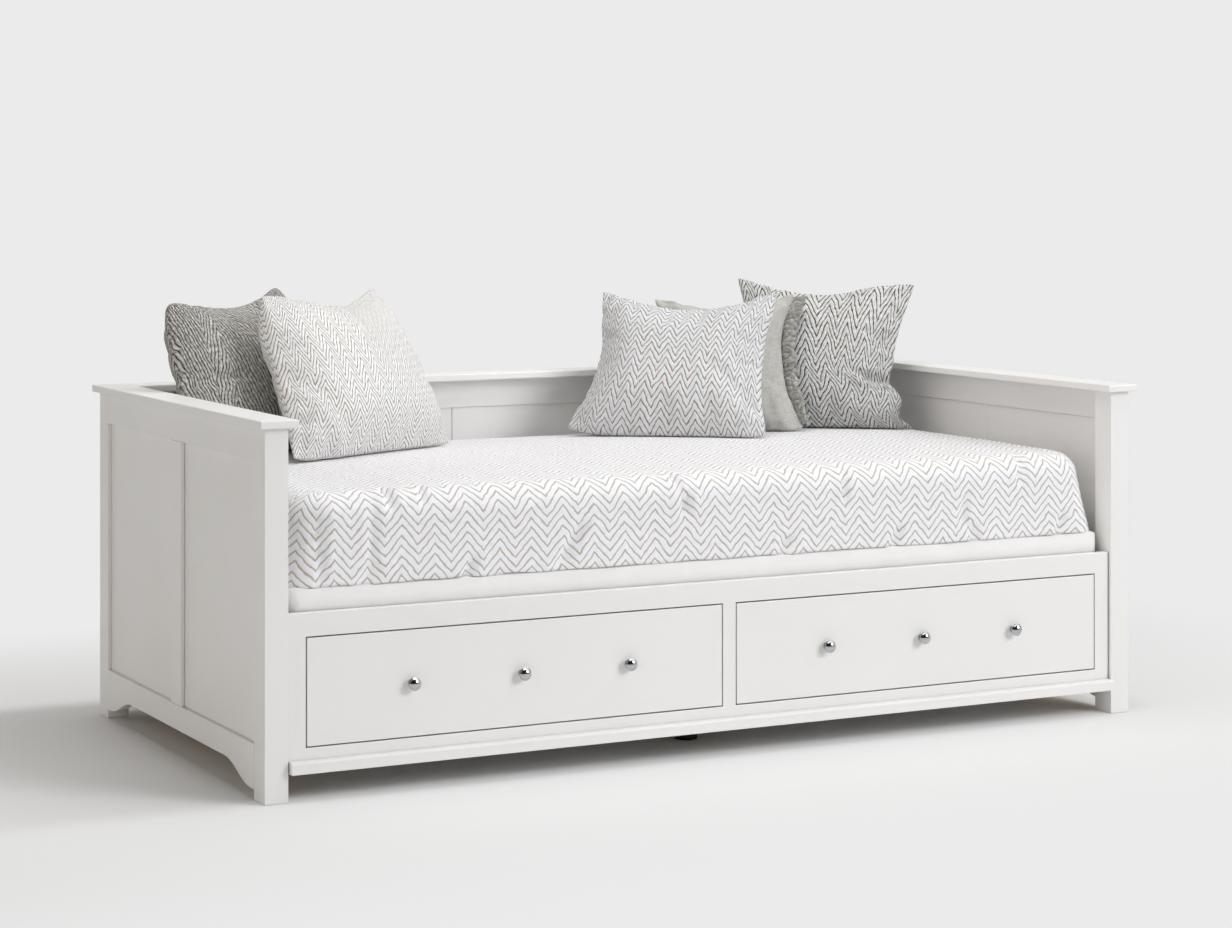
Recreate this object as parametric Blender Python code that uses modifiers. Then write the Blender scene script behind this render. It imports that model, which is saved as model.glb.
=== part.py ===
"""Storage daybed with a pull-out front section, two drawers, a mattress, a bedspread and five cushions.

Metres, +Z up. X runs along the bed with the right-hand end at +X, the front faces -Y, and the
origin is on the floor under the middle of the frame.
"""

import math

import bmesh
import bpy
from mathutils import Euler, Matrix, Vector
from mathutils.bvhtree import BVHTree

# Overall size of the frame, over its capping boards
overall_length = 2.100
overall_depth = 1.085
overall_height = 0.742

# Clearances
fit_gap = 0.0003
slide_clearance = 0.002
edge_round = 0.0012
edge_segments = 2
weld_distance = 0.00005

# Capping boards and posts
cap_thickness = 0.016
cap_width = 0.080
cap_side_overhang = 0.014
cap_end_overhang = 0.0155
cap_edge_round = 0.0025
post_width = 0.049
post_depth = 0.059

# Rails and panels of the ends and the back
rail_thickness = 0.022
top_rail_height = 0.066
bottom_rail_top = 0.1075
bottom_rail_arch = 0.0565
bracket_foot = 0.020
bracket_length = 0.150
bracket_land = 0.018
bracket_steps = 14
panel_setback = 0.009
panel_thickness = 0.008
panel_joint_chamfer = 0.0025
muntin_width = 0.066
back_centre_panel_width = 0.350

# Bed base
slat_thickness = 0.0153
slat_width = 0.055
slat_end_margin = 0.0325
fixed_slat_count = 11
slat_top = 0.360
batten_lap = 0.0013
packer_height = 0.001
batten_depth = 0.0217
batten_height = 0.026
batten_gap = 0.006
beam_depth = 0.040
beam_height = 0.0262
beam_setback = 0.040

# Pull-out section
front_thickness = 0.018
front_setback = 0.008
front_lip = 0.004
front_bottom = 0.0575
front_top_rail = 0.0464
front_bottom_rail = 0.0439
front_end_stile = 0.037
front_centre_stile = 0.031
trim_height = 0.023
trim_projection = 0.023
trim_drop = 0.002
trim_round = 0.0045
trim_round_steps = 5
side_thickness = 0.018
side_bottom = 0.080
guide_bearing = 0.015
guide_height = 0.021
partition_thickness = 0.018
rear_batten_depth = 0.035
foot_radius = 0.025
foot_neck_radius = 0.016
foot_pad_height = 0.030
foot_place = 0.190
foot_round = 0.004
turn_steps = 16

# Drawers
drawer_gap = 0.0025
drawer_box_clearance = 0.008
drawer_box_depth = 0.600
drawer_box_height = 0.160
drawer_box_rise = 0.0065
drawer_side_thickness = 0.012
drawer_bottom_thickness = 0.006
drawer_bottom_rise = 0.006
runner_height = 0.020
runner_bearing = 0.010
runner_run_on = 0.020
knob_spacing = 0.242
knob_radius = 0.0135
knob_height = 0.022
knob_base_radius = 0.0075
knob_neck_radius = 0.005
knob_base_height = 0.0025
knob_neck_height = 0.0075
knob_dome_steps = 5

# Mattress and bedspread
mattress_height = 0.236
mattress_end_gap = 0.0345
mattress_front_gap = 0.007
mattress_rear_gap = 0.019
mattress_crown = 0.010
soft_corner = 0.085
soft_edge = 0.060
under_edge = 0.018
cover_ease = 0.0008
cover_thickness = 0.0022
cover_hem_rise = 0.0487
cover_fold_depth = 0.006
cover_fold_count = 11
corner_steps = 5
length_steps = 14
depth_steps = 6
edge_steps = 4
crown_rings = 3

# Cushions
grey_cushion_width = 0.445
grey_cushion_height = 0.385
grey_cushion_fullness = 0.125
pale_cushion_width = 0.465
pale_cushion_height = 0.390
pale_cushion_fullness = 0.130
linen_cushion_width = 0.370
linen_cushion_height = 0.360
linen_cushion_fullness = 0.110
cushion_sink = 0.006
cushion_seat_gap = 0.0006
cushion_grid = 14
cushion_draw_in_share = 0.045

# Middle of each cushion's lower seam, in shares of the mattress's half length and half depth,
# its turn about the vertical and its lean from upright, in degrees, and the share by which its
# weight spreads the seam that it stands on and narrows the top
cushion_place_shares = {
    "cushion_grey_left": (-0.760, 0.549, 27, 20, 0.050),
    "cushion_pale_left": (-0.558, 0.284, 27, 24, 0.160),
    "cushion_pale_right": (0.252, 0.380, -43, 34, 0.042),
    "cushion_linen": (0.493, 0.508, -28, 27, 0.012),
    "cushion_grey_right": (0.760, 0.518, -33, 23, 0),
}

# Finishes: colour in linear light, roughness, metallic
finishes = {
    "white_paint": ((0.80, 0.80, 0.79), 0.42, 0.0),
    "bare_pine": ((0.62, 0.44, 0.26), 0.62, 0.0),
    "white_board": ((0.74, 0.73, 0.70), 0.50, 0.0),
    "chrome": ((0.62, 0.62, 0.63), 0.10, 1.0),
    "black_plastic": ((0.010, 0.010, 0.011), 0.45, 0.0),
    "mattress_cloth": ((0.82, 0.81, 0.79), 0.85, 0.0),
    "bedspread_cloth": ((0.78, 0.77, 0.78), 0.88, 0.0),
    "grey_weave": ((0.30, 0.29, 0.27), 0.90, 0.0),
    "pale_weave": ((0.70, 0.69, 0.67), 0.88, 0.0),
    "grey_linen": ((0.42, 0.41, 0.38), 0.90, 0.0),
}

# Planes that several pieces share
half_length = overall_length / 2
half_depth = overall_depth / 2
cap_bottom = overall_height - cap_thickness
post_outer = half_length - cap_side_overhang
post_inner = post_outer - post_width
post_front = -half_depth + cap_end_overhang
post_back = half_depth - cap_end_overhang
rail_front = post_front + post_depth
rail_back = post_back - post_depth
rail_inner = post_outer - rail_thickness
panel_outer = post_outer - panel_setback
back_rail_front = post_back - rail_thickness
back_panel_rear = post_back - panel_setback
top_rail_bottom = cap_bottom - fit_gap - top_rail_height
slat_bottom = slat_top - slat_thickness
front_face = post_front + front_setback
front_rear = front_face + front_thickness
front_half = post_inner - slide_clearance
front_top = slat_top + front_lip
side_inner = front_half - side_thickness
beam_front = front_face + beam_setback
beam_top = slat_bottom - fit_gap
side_top = beam_top - beam_height - slide_clearance
slat_reach = front_half - slat_end_margin - slat_width / 2
rear_batten_back = back_rail_front - batten_depth - batten_gap
opening_low = front_bottom + front_bottom_rail
opening_high = front_top - front_top_rail
opening_inner = front_centre_stile / 2
opening_outer = front_half - front_end_stile
box_low = opening_low + drawer_box_rise + drawer_gap
box_inner = opening_inner + drawer_box_clearance
box_outer = opening_outer - drawer_box_clearance
box_back = front_rear + fit_gap + drawer_box_depth
mattress_low = slat_top + fit_gap
mattress_top = mattress_low + mattress_height - mattress_crown
mattress_half_length = post_inner - mattress_end_gap
mattress_front = front_rear + mattress_front_gap
mattress_back = back_rail_front - mattress_rear_gap
mattress_half_depth = (mattress_back - mattress_front) / 2
mattress_middle = (mattress_front + mattress_back) / 2


def clear_scene():
    for item in list(bpy.data.objects):
        bpy.data.objects.remove(item, do_unlink=True)


def make_collection(name):
    collection = bpy.data.collections.new(name)
    bpy.context.scene.collection.children.link(collection)
    return collection


def place(item, finish, parent=None):
    """Links an object, gives it its own material and hangs it on its joint's empty."""
    daybed.objects.link(item)
    colour, roughness, metallic = finishes[finish]
    material = bpy.data.materials.new(item.name + "_" + finish)
    material.use_nodes = True
    shader = material.node_tree.nodes["Principled BSDF"]
    shader.inputs["Base Color"].default_value = (*colour, 1)
    shader.inputs["Roughness"].default_value = roughness
    shader.inputs["Metallic"].default_value = metallic
    item.data.materials.append(material)
    if parent is not None:
        item.parent = parent
        item.matrix_parent_inverse = Matrix.Translation(parent.matrix_world.translation).inverted()
    return item


def joint_empty(name, location, parent=None):
    empty = bpy.data.objects.new(name, None)
    empty.location = location
    daybed.objects.link(empty)
    bpy.context.view_layer.update()
    if parent is not None:
        world = Matrix.Translation(location)
        empty.parent = parent
        empty.matrix_parent_inverse = Matrix.Translation(parent.matrix_world.translation).inverted()
        empty.matrix_world = world
        bpy.context.view_layer.update()
    return empty


def add_bevel(item, width, segments=edge_segments):
    bevel = item.modifiers.new("rounded_edges", "BEVEL")
    bevel.width = width
    bevel.segments = segments
    bevel.limit_method = "ANGLE"


def board(name, low, high, finish="white_paint", parent=None, rounding=edge_round):
    """A straight board between two corners."""
    low = Vector(low)
    high = Vector(high)
    size = high - low
    shape = bmesh.new()
    bmesh.ops.create_cube(shape, size=1)
    bmesh.ops.scale(shape, vec=size, verts=shape.verts)
    mesh = bpy.data.meshes.new(name)
    shape.to_mesh(mesh)
    shape.free()
    item = bpy.data.objects.new(name, mesh)
    item.location = (low + high) / 2
    if rounding:
        add_bevel(item, rounding)
    return place(item, finish, parent)


def cut_board(name, outlines, thickness, location, rotation, finish="white_paint", parent=None,
              rounding=edge_round):
    """A board cut to an outline, with any further outlines as holes in it."""
    curve = bpy.data.curves.new(name, "CURVE")
    curve.dimensions = "2D"
    curve.fill_mode = "BOTH"
    curve.extrude = thickness / 2
    for outline in outlines:
        spline = curve.splines.new("POLY")
        spline.points.add(len(outline) - 1)
        for point, (across, up) in zip(spline.points, outline):
            point.co = (across, up, 0, 1)
        spline.use_cyclic_u = True
    item = bpy.data.objects.new(name, curve)
    item.location = location
    item.rotation_euler = rotation
    weld = item.modifiers.new("closed_edges", "WELD")
    weld.merge_threshold = weld_distance
    if rounding:
        add_bevel(item, rounding)
    return place(item, finish, parent)


def turned(name, profile, location, rotation, finish, parent=None):
    """A turned piece from its outer profile, listed from the top down."""
    shape = bmesh.new()
    corners = [shape.verts.new((radius, 0, height)) for radius, height in profile]
    for upper, lower in zip(corners, corners[1:]):
        shape.edges.new((upper, lower))
    mesh = bpy.data.meshes.new(name)
    shape.to_mesh(mesh)
    shape.free()
    item = bpy.data.objects.new(name, mesh)
    item.location = location
    item.rotation_euler = rotation
    screw = item.modifiers.new("turning", "SCREW")
    screw.steps = turn_steps
    screw.render_steps = turn_steps
    screw.use_merge_vertices = True
    screw.merge_threshold = weld_distance
    screw.use_smooth_shade = True
    return place(item, finish, parent)


def rectangle(left, right, low, high):
    return [(left, low), (right, low), (right, high), (left, high)]


def make_posts():
    for side, sign in (("left", -1), ("right", 1)):
        across = sorted((sign * post_inner, sign * post_outer))
        for place_name, front in (("front", post_front), ("back", rail_back)):
            board(
                f"post_{place_name}_{side}",
                (across[0], front, 0),
                (across[1], front + post_depth, cap_bottom - fit_gap),
            )


def bracket_height(share):
    """Height of the end rail's lower edge along its S-shaped bracket, from the post to the arch."""
    return bracket_foot + (bottom_rail_arch - bracket_foot) * (1 - math.cos(math.pi * share)) / 2


def end_rail_outline():
    """Side view of the bottom end rail: straight on top, a bracket at each post, flat between."""
    reach = rail_back - fit_gap
    half = [(reach, bottom_rail_top), (reach, bracket_foot)]
    for step in range(bracket_steps + 1):
        share = step / bracket_steps
        half.append((reach - bracket_land - bracket_length * share, bracket_height(share)))
    return half + [(-across, up) for across, up in reversed(half)]


def make_ends():
    along = (math.pi / 2, 0, math.pi / 2)
    joint_y = fit_gap / 2
    for side, sign in (("left", -1), ("right", 1)):
        across = sorted((sign * rail_inner, sign * post_outer))
        board(
            f"end_top_rail_{side}",
            (across[0], rail_front + fit_gap, top_rail_bottom),
            (across[1], rail_back - fit_gap, cap_bottom - fit_gap),
        )
        cut_board(
            f"end_bottom_rail_{side}",
            [end_rail_outline()],
            rail_thickness,
            (sign * (post_outer - rail_thickness / 2), 0, 0),
            along,
        )
        outer = sign * panel_outer
        inner = sign * (panel_outer - panel_thickness)
        chamfer = sign * panel_joint_chamfer
        panel_low = bottom_rail_top + fit_gap
        panel_high = top_rail_bottom - fit_gap
        for place_name, turn in (("front", -1), ("back", 1)):
            edge = turn * (rail_back - fit_gap)
            joint = turn * joint_y
            outline = [
                (outer, edge),
                (outer, joint),
                (inner + chamfer, joint),
                (inner, joint + turn * panel_joint_chamfer),
                (inner, edge),
            ]
            cut_board(
                f"end_panel_{side}_{place_name}",
                [outline],
                panel_high - panel_low,
                (0, 0, (panel_low + panel_high) / 2),
                (0, 0, 0),
                rounding=0,
            )
        muntin = sorted((sign * (panel_outer + fit_gap), sign * post_outer))
        board(
            f"end_muntin_{side}",
            (muntin[0], -muntin_width / 2, panel_low),
            (muntin[1], muntin_width / 2, panel_high),
        )
        cap = sorted((sign * (half_length - cap_width), sign * half_length))
        board(
            f"end_cap_{side}",
            (cap[0], -half_depth, cap_bottom),
            (cap[1], half_depth, overall_height),
            rounding=cap_edge_round,
        )


def make_back():
    reach = post_inner - fit_gap
    cap_reach = half_length - cap_width - fit_gap
    board(
        "back_cap",
        (-cap_reach, half_depth - cap_width, cap_bottom),
        (cap_reach, half_depth, overall_height),
        rounding=cap_edge_round,
    )
    board(
        "back_top_rail",
        (-reach, back_rail_front, top_rail_bottom),
        (reach, post_back, cap_bottom - fit_gap),
    )
    board(
        "back_bottom_rail",
        (-reach, back_rail_front, bottom_rail_arch),
        (reach, post_back, bottom_rail_top),
    )
    low = bottom_rail_top + fit_gap
    high = top_rail_bottom - fit_gap
    front = back_panel_rear - panel_thickness
    half_centre = back_centre_panel_width / 2
    edges = [-reach, -half_centre, half_centre, reach]
    for number, name in enumerate(("left", "centre", "right")):
        left = edges[number] + (fit_gap / 2 if number else 0)
        right = edges[number + 1] - (fit_gap / 2 if number < len(edges) - 2 else 0)
        chamfer_left = panel_joint_chamfer if number else 0
        chamfer_right = panel_joint_chamfer if number < len(edges) - 2 else 0
        outline = [(left, back_panel_rear), (left, front + chamfer_left)]
        if chamfer_left:
            outline.append((left + chamfer_left, front))
        if chamfer_right:
            outline.append((right - chamfer_right, front))
        outline += [(right, front + chamfer_right), (right, back_panel_rear)]
        cut_board(
            f"back_panel_{name}",
            [outline],
            high - low,
            (0, 0, (low + high) / 2),
            (0, 0, 0),
            rounding=0,
        )


def slat_comb(name, places, front, back, batten_low, batten_high, parent=None):
    """Slats screwed down, over thin packers, on the batten that joins their rear ends."""
    size = batten_high - batten_low
    batten = bmesh.new()
    bmesh.ops.create_cube(batten, size=1)
    bmesh.ops.scale(batten, vec=size, verts=batten.verts)
    bmesh.ops.translate(batten, vec=(batten_high + batten_low) / 2, verts=batten.verts)
    mesh = bpy.data.meshes.new(name)
    batten.to_mesh(mesh)
    batten.free()
    item = bpy.data.objects.new(name, mesh)
    packer = (batten_low.y + batten_lap, batten_high.y - batten_lap, batten_high.z - batten_lap)
    outline = [
        (front, slat_bottom),
        (packer[0], slat_bottom),
        (packer[0], packer[2]),
        (packer[1], packer[2]),
        (packer[1], slat_bottom),
        (back, slat_bottom),
        (back, slat_top),
        (front, slat_top),
    ]
    slats = bmesh.new()
    for x in places:
        corners = [slats.verts.new((x - slat_width / 2, along, up)) for along, up in outline]
        side = slats.faces.new(corners)
        grown = bmesh.ops.extrude_face_region(slats, geom=[side])["geom"]
        moved = [part for part in grown if isinstance(part, bmesh.types.BMVert)]
        bmesh.ops.translate(slats, vec=(slat_width, 0, 0), verts=moved)
    bmesh.ops.recalc_face_normals(slats, faces=slats.faces)
    slat_mesh = bpy.data.meshes.new(name + "_slats")
    slats.to_mesh(slat_mesh)
    slats.free()
    tool = bpy.data.objects.new(name + "_slats", slat_mesh)
    cutters.objects.link(tool)
    tool.hide_render = True
    tool.display_type = "WIRE"
    join = item.modifiers.new("slats", "BOOLEAN")
    join.operation = "UNION"
    join.solver = "EXACT"
    join.object = tool
    placed = place(item, "bare_pine", parent)
    if parent is not None:
        tool.parent = parent
        tool.matrix_parent_inverse = item.matrix_parent_inverse
    return placed


def slat_place(number):
    """Middle of a fixed slat, or halfway between two of them for a slat that slides."""
    return slat_reach * (2 * number / (fixed_slat_count - 1) - 1)


def make_fixed_base():
    reach = post_inner - fit_gap
    board(
        "front_beam",
        (-reach, beam_front, beam_top - beam_height),
        (reach, beam_front + beam_depth, beam_top),
        finish="bare_pine",
    )
    places = [slat_place(number) for number in range(fixed_slat_count)]
    back = back_rail_front - fit_gap
    batten_top = slat_bottom - packer_height
    slat_comb(
        "slat_base_fixed",
        places,
        beam_front,
        back,
        Vector((-reach, back - batten_depth, batten_top - batten_height)),
        Vector((reach, back, batten_top)),
    )


def make_pullout(parent):
    upright = (math.pi / 2, 0, 0)
    holes = [
        rectangle(opening_inner, opening_outer, opening_low, opening_high),
        rectangle(-opening_outer, -opening_inner, opening_low, opening_high),
    ]
    cut_board(
        "pullout_front",
        [rectangle(-front_half, front_half, front_bottom, front_top)] + holes,
        front_thickness,
        (0, front_face + front_thickness / 2, 0),
        upright,
        parent=parent,
    )
    make_trim(parent)
    make_pullout_sides(parent)
    board(
        "pullout_partition",
        (-partition_thickness / 2, front_rear + fit_gap, side_bottom),
        (partition_thickness / 2, rear_batten_back, side_top),
        finish="white_board",
        parent=parent,
    )
    places = [slat_place(number + 1 / 2) for number in range(fixed_slat_count - 1)]
    slat_comb(
        "slat_base_pullout",
        places,
        front_rear + fit_gap,
        rear_batten_back,
        Vector((-front_half, rear_batten_back - rear_batten_depth, side_top + fit_gap)),
        Vector((front_half, rear_batten_back, slat_bottom - packer_height)),
        parent,
    )


def make_trim(parent):
    """The moulding along the foot of the front, rounded along its upper front edge."""
    low = front_bottom - trim_drop
    high = low + trim_height
    back = front_face - fit_gap
    front = back - trim_projection
    outline = [(front, low), (back, low), (back, high)]
    for step in range(trim_round_steps + 1):
        angle = math.pi / 2 * step / trim_round_steps
        outline.append((
            front + trim_round - trim_round * math.sin(angle),
            high - trim_round + trim_round * math.cos(angle),
        ))
    cut_board(
        "pullout_trim",
        [outline],
        2 * front_half,
        (0, 0, 0),
        (math.pi / 2, 0, math.pi / 2),
        parent=parent,
        rounding=0,
    )


def make_pullout_sides(parent):
    for side, sign in (("left", -1), ("right", 1)):
        across = sorted((sign * side_inner, sign * front_half))
        board(
            f"pullout_side_{side}",
            (across[0], front_rear + fit_gap, side_bottom),
            (across[1], rear_batten_back, side_top),
            finish="white_board",
            parent=parent,
        )
        run = (front_rear + fit_gap, box_back + runner_run_on)
        top = box_low - fit_gap
        outer = sorted((sign * (side_inner - fit_gap), sign * (box_outer - runner_bearing)))
        inner = sorted((sign * (partition_thickness / 2 + fit_gap), sign * (box_inner + runner_bearing)))
        for place_name, across in (("outer", outer), ("inner", inner)):
            board(
                f"runner_{side}_{place_name}",
                (across[0], run[0], top - runner_height),
                (across[1], run[1], top),
                finish="bare_pine",
                parent=parent,
            )


def make_guides():
    """Cleats on the ends' bottom rails that carry the sides of the pull-out section."""
    for side, sign in (("left", -1), ("right", 1)):
        across = sorted((sign * (front_half - guide_bearing), sign * (rail_inner - fit_gap)))
        board(
            f"pullout_guide_{side}",
            (across[0], rail_front + fit_gap, side_bottom - fit_gap - guide_height),
            (across[1], rail_back - fit_gap, side_bottom - fit_gap),
            finish="bare_pine",
        )


def make_foot(parent):
    """The black centre foot under the partition."""
    top = side_bottom - fit_gap
    profile = [
        (0, top),
        (foot_neck_radius, top),
        (foot_neck_radius, foot_pad_height + foot_round),
        (foot_radius - foot_round, foot_pad_height),
        (foot_radius, foot_pad_height - foot_round),
        (foot_radius, foot_round),
        (foot_radius - foot_round, 0),
        (0, 0),
    ]
    turned("pullout_foot", profile, (0, front_face + foot_place, 0), (0, 0, 0), "black_plastic", parent)


def knob_profile():
    """Domed knob along +Z, its screwed face at zero."""
    widest = knob_base_height + knob_neck_height
    dome = knob_height - widest
    profile = [(0, knob_height)]
    for step in range(1, knob_dome_steps + 1):
        angle = math.pi / 2 * step / knob_dome_steps
        profile.append((knob_radius * math.sin(angle), widest + dome * math.cos(angle)))
    profile += [
        (knob_radius - edge_round, widest - edge_round),
        (knob_neck_radius, widest - edge_round),
        (knob_neck_radius, knob_base_height),
        (knob_base_radius, knob_base_height),
        (knob_base_radius, 0),
        (0, 0),
    ]
    return profile


def make_drawer(side, sign, parent):
    name = f"drawer_{side}"
    front = sorted((sign * (opening_inner + drawer_gap), sign * (opening_outer - drawer_gap)))
    board(
        f"{name}_front",
        (front[0], front_face, opening_low + drawer_gap),
        (front[1], front_rear, opening_high - drawer_gap),
        parent=parent,
    )
    start = front_rear + fit_gap
    top = box_low + drawer_box_height
    for place_name, near in (("outer", box_outer - drawer_side_thickness), ("inner", box_inner)):
        across = sorted((sign * near, sign * (near + drawer_side_thickness)))
        board(
            f"{name}_side_{place_name}",
            (across[0], start, box_low),
            (across[1], box_back, top),
            finish="white_board",
            parent=parent,
        )
    inside = sorted((
        sign * (box_inner + drawer_side_thickness + fit_gap),
        sign * (box_outer - drawer_side_thickness - fit_gap),
    ))
    floor = box_low + drawer_bottom_rise
    board(
        f"{name}_back",
        (inside[0], box_back - drawer_side_thickness, floor),
        (inside[1], box_back, top),
        finish="white_board",
        parent=parent,
    )
    board(
        f"{name}_bottom",
        (inside[0], start, floor),
        (inside[1], box_back - drawer_side_thickness - fit_gap, floor + drawer_bottom_thickness),
        finish="white_board",
        parent=parent,
        rounding=0,
    )
    middle = sign * (opening_inner + opening_outer) / 2
    for number, place_name in enumerate(("a", "b", "c")):
        turned(
            f"knob_{side}_{place_name}",
            knob_profile(),
            (middle + knob_spacing * (number - 1), front_face - fit_gap, (opening_low + opening_high) / 2),
            (math.pi / 2, 0, 0),
            "chrome",
            parent,
        )


def ring(half_x, half_y, corner):
    """Points round a rectangle with round corners, counted alike for every ring."""
    centre_x = half_x - corner
    centre_y = half_y - corner
    points = []
    quarters = (
        (centre_x, centre_y, 0, -2 * centre_x, 0, length_steps),
        (-centre_x, centre_y, 1, 0, -2 * centre_y, depth_steps),
        (-centre_x, -centre_y, 2, 2 * centre_x, 0, length_steps),
        (centre_x, -centre_y, 3, 0, 2 * centre_y, depth_steps),
    )
    for x, y, quarter, run_x, run_y, steps in quarters:
        for step in range(corner_steps + 1):
            angle = math.pi / 2 * (quarter + step / corner_steps)
            points.append(Vector((x + corner * math.cos(angle), y + corner * math.sin(angle), 0)))
        last = points[-1]
        for step in range(1, steps):
            points.append(last + Vector((run_x, run_y, 0)) * step / steps)
    return points


def crown_height(x, y, half_x, half_y, crown):
    """Rise of a stuffed top over its edge at one place."""
    share_x = min(1, abs(x) / half_x)
    share_y = min(1, abs(y) / half_y)
    return crown * (1 - share_x ** 4) * (1 - share_y ** 2)


def block_rings(half_x, half_y, low, top, crown):
    """Rings of a stuffed block, from its lower edge up and in over the crown."""
    rings = []
    for height in (low, (low + top - soft_edge) / 2, top - soft_edge):
        rings.append([point + Vector((0, 0, height)) for point in ring(half_x, half_y, soft_corner)])
    for step in range(1, edge_steps + 1):
        angle = math.pi / 2 * step / edge_steps
        inset = soft_edge * (1 - math.cos(angle))
        height = top - soft_edge + soft_edge * math.sin(angle)
        level = ring(half_x - inset, half_y - inset, soft_corner - inset)
        rings.append([point + Vector((0, 0, height)) for point in level])
    inner_x = half_x - soft_edge
    inner_y = half_y - soft_edge
    for step in range(1, crown_rings + 1):
        share = 1 - step / (crown_rings + 1)
        level = []
        corner = (soft_corner - soft_edge) * share
        for point in ring(inner_x - inner_y * (1 - share), inner_y * share, corner):
            rise = crown_height(point.x, point.y, inner_x, inner_y, crown)
            level.append(point + Vector((0, 0, top + rise)))
        rings.append(level)
    return rings


def loft(shape, rings):
    """Skins rings that have the same number of points, lowest first."""
    rows = [[shape.verts.new(point) for point in points] for points in rings]
    for lower, upper in zip(rows, rows[1:]):
        for number in range(len(lower)):
            following = (number + 1) % len(lower)
            shape.faces.new((lower[number], lower[following], upper[following], upper[number]))
    return rows


def close_top(shape, row):
    """Joins the two long sides of the innermost ring across the middle."""
    count = len(row)
    pairs = [(number, count - 1 - number) for number in range(count // 2)]
    shift = corner_steps + length_steps - 1 + depth_steps // 2
    order = [row[(number + shift) % count] for number in range(count)]
    for (a, b), (c, d) in zip(pairs, pairs[1:]):
        corners = [order[a], order[c], order[d], order[b]]
        shape.faces.new(list(dict.fromkeys(corners)))


def soft_object(name, shape, location, finish):
    mesh = bpy.data.meshes.new(name)
    shape.to_mesh(mesh)
    shape.free()
    mesh.shade_smooth()
    item = bpy.data.objects.new(name, mesh)
    item.location = location
    return place(item, finish)


def make_mattress():
    half_x = mattress_half_length
    half_y = mattress_half_depth
    rings = block_rings(half_x, half_y, mattress_low + under_edge, mattress_top, mattress_crown)
    underside = ring(half_x - under_edge, half_y - under_edge, soft_corner - under_edge)
    lowest = [point + Vector((0, 0, mattress_low)) for point in underside]
    shape = bmesh.new()
    rows = loft(shape, [lowest] + rings)
    close_top(shape, rows[-1])
    close_top(shape, list(reversed(rows[0])))
    bmesh.ops.recalc_face_normals(shape, faces=shape.faces)
    soft_object("mattress", shape, (0, mattress_middle, 0), "mattress_cloth")


def cover_fold(point, share):
    """Outward swell of the bedspread's hanging sides, full at the hem."""
    angle = math.atan2(point.y * mattress_half_length / mattress_half_depth, point.x)
    swell = (1 + math.sin(angle * cover_fold_count)) / 2
    return cover_fold_depth * swell * share


def cover_rings():
    half_x = mattress_half_length + cover_ease
    half_y = mattress_half_depth + cover_ease
    hem = mattress_low + cover_hem_rise
    rings = block_rings(half_x, half_y, hem, mattress_top + cover_ease, mattress_crown)
    for level, share in ((0, 1), (1, 1 / 3)):
        for point in rings[level]:
            outward = Vector((point.x / half_x ** 2, point.y / half_y ** 2, 0)).normalized()
            point += outward * cover_fold(point, share)
    return rings


def make_bedspread():
    shape = bmesh.new()
    rows = loft(shape, cover_rings())
    close_top(shape, rows[-1])
    bmesh.ops.recalc_face_normals(shape, faces=shape.faces)
    item = soft_object("bedspread", shape, (0, mattress_middle, 0), "bedspread_cloth")
    thick = item.modifiers.new("cloth", "SOLIDIFY")
    thick.thickness = cover_thickness
    thick.offset = 1
    thick.use_even_offset = True
    return item


def cushion_form(width, height, fullness, slump_share):
    """A stuffed square standing on its lower seam: full in the middle, its sides drawn in."""
    shape = bmesh.new()
    bmesh.ops.create_grid(shape, x_segments=cushion_grid, y_segments=cushion_grid, size=1)
    for vert in shape.verts:
        u, v = vert.co.x, vert.co.y
        swell = math.sqrt(max(0, (1 - u * u) * (1 - v * v)))
        vert.co = (
            width / 2 * u * (1 - slump_share * v) * (1 - cushion_draw_in_share * (1 - v * v)),
            height / 2 * (1 + v * (1 - cushion_draw_in_share * (1 - u * u))),
            fullness / 2 * swell,
        )
    front = shape.verts[:] + shape.edges[:] + shape.faces[:]
    back = bmesh.ops.duplicate(shape, geom=front)["geom"]
    for vert in [part for part in back if isinstance(part, bmesh.types.BMVert)]:
        vert.co.z = -vert.co.z
    turned_over = [part for part in back if isinstance(part, bmesh.types.BMFace)]
    bmesh.ops.reverse_faces(shape, faces=turned_over)
    bmesh.ops.remove_doubles(shape, verts=shape.verts, dist=weld_distance)
    return shape


def cover_height(cover, spot, reach):
    """Highest place of the bedspread's upper side around one spot, or None beside the bed."""
    heights = []
    for across, back in ((0, 0), (reach, 0), (-reach, 0), (0, reach), (0, -reach)):
        above = Vector((spot.x + across, spot.y + back - mattress_middle, overall_height))
        found = cover.ray_cast(above, Vector((0, 0, -1)))[0]
        if found is not None:
            heights.append(found.z)
    return max(heights, default=None)


def make_cushion(name, width, height, fullness, finish, cover):
    """A cushion on its lower seam, whose middle is its origin, turned, leaning and settled."""
    across_share, back_share, yaw, lean, slump_share = cushion_place_shares[name]
    x = across_share * mattress_half_length
    y = mattress_middle + back_share * mattress_half_depth
    shape = cushion_form(width, height, fullness, slump_share)
    reach = width / cushion_grid / 2
    turn = Euler((math.pi / 2 - math.radians(lean), 0, math.radians(yaw)))
    placing = Matrix.Translation((x, y, 0)) @ turn.to_matrix().to_4x4()
    lifts = []
    for vert in shape.verts:
        spot = placing @ vert.co
        height_there = cover_height(cover, spot, reach)
        if height_there is not None:
            lifts.append(height_there - spot.z)
    rise = max(lifts) - cushion_sink
    placing = Matrix.Translation((0, 0, rise)) @ placing
    for vert in shape.verts:
        spot = placing @ vert.co
        height_there = cover_height(cover, spot, reach)
        if height_there is not None and spot.z < height_there + cushion_seat_gap:
            spot.z = height_there + cushion_seat_gap
            vert.co = placing.inverted() @ spot
    item = soft_object(name, shape, (x, y, rise), finish)
    item.rotation_euler = turn


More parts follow.
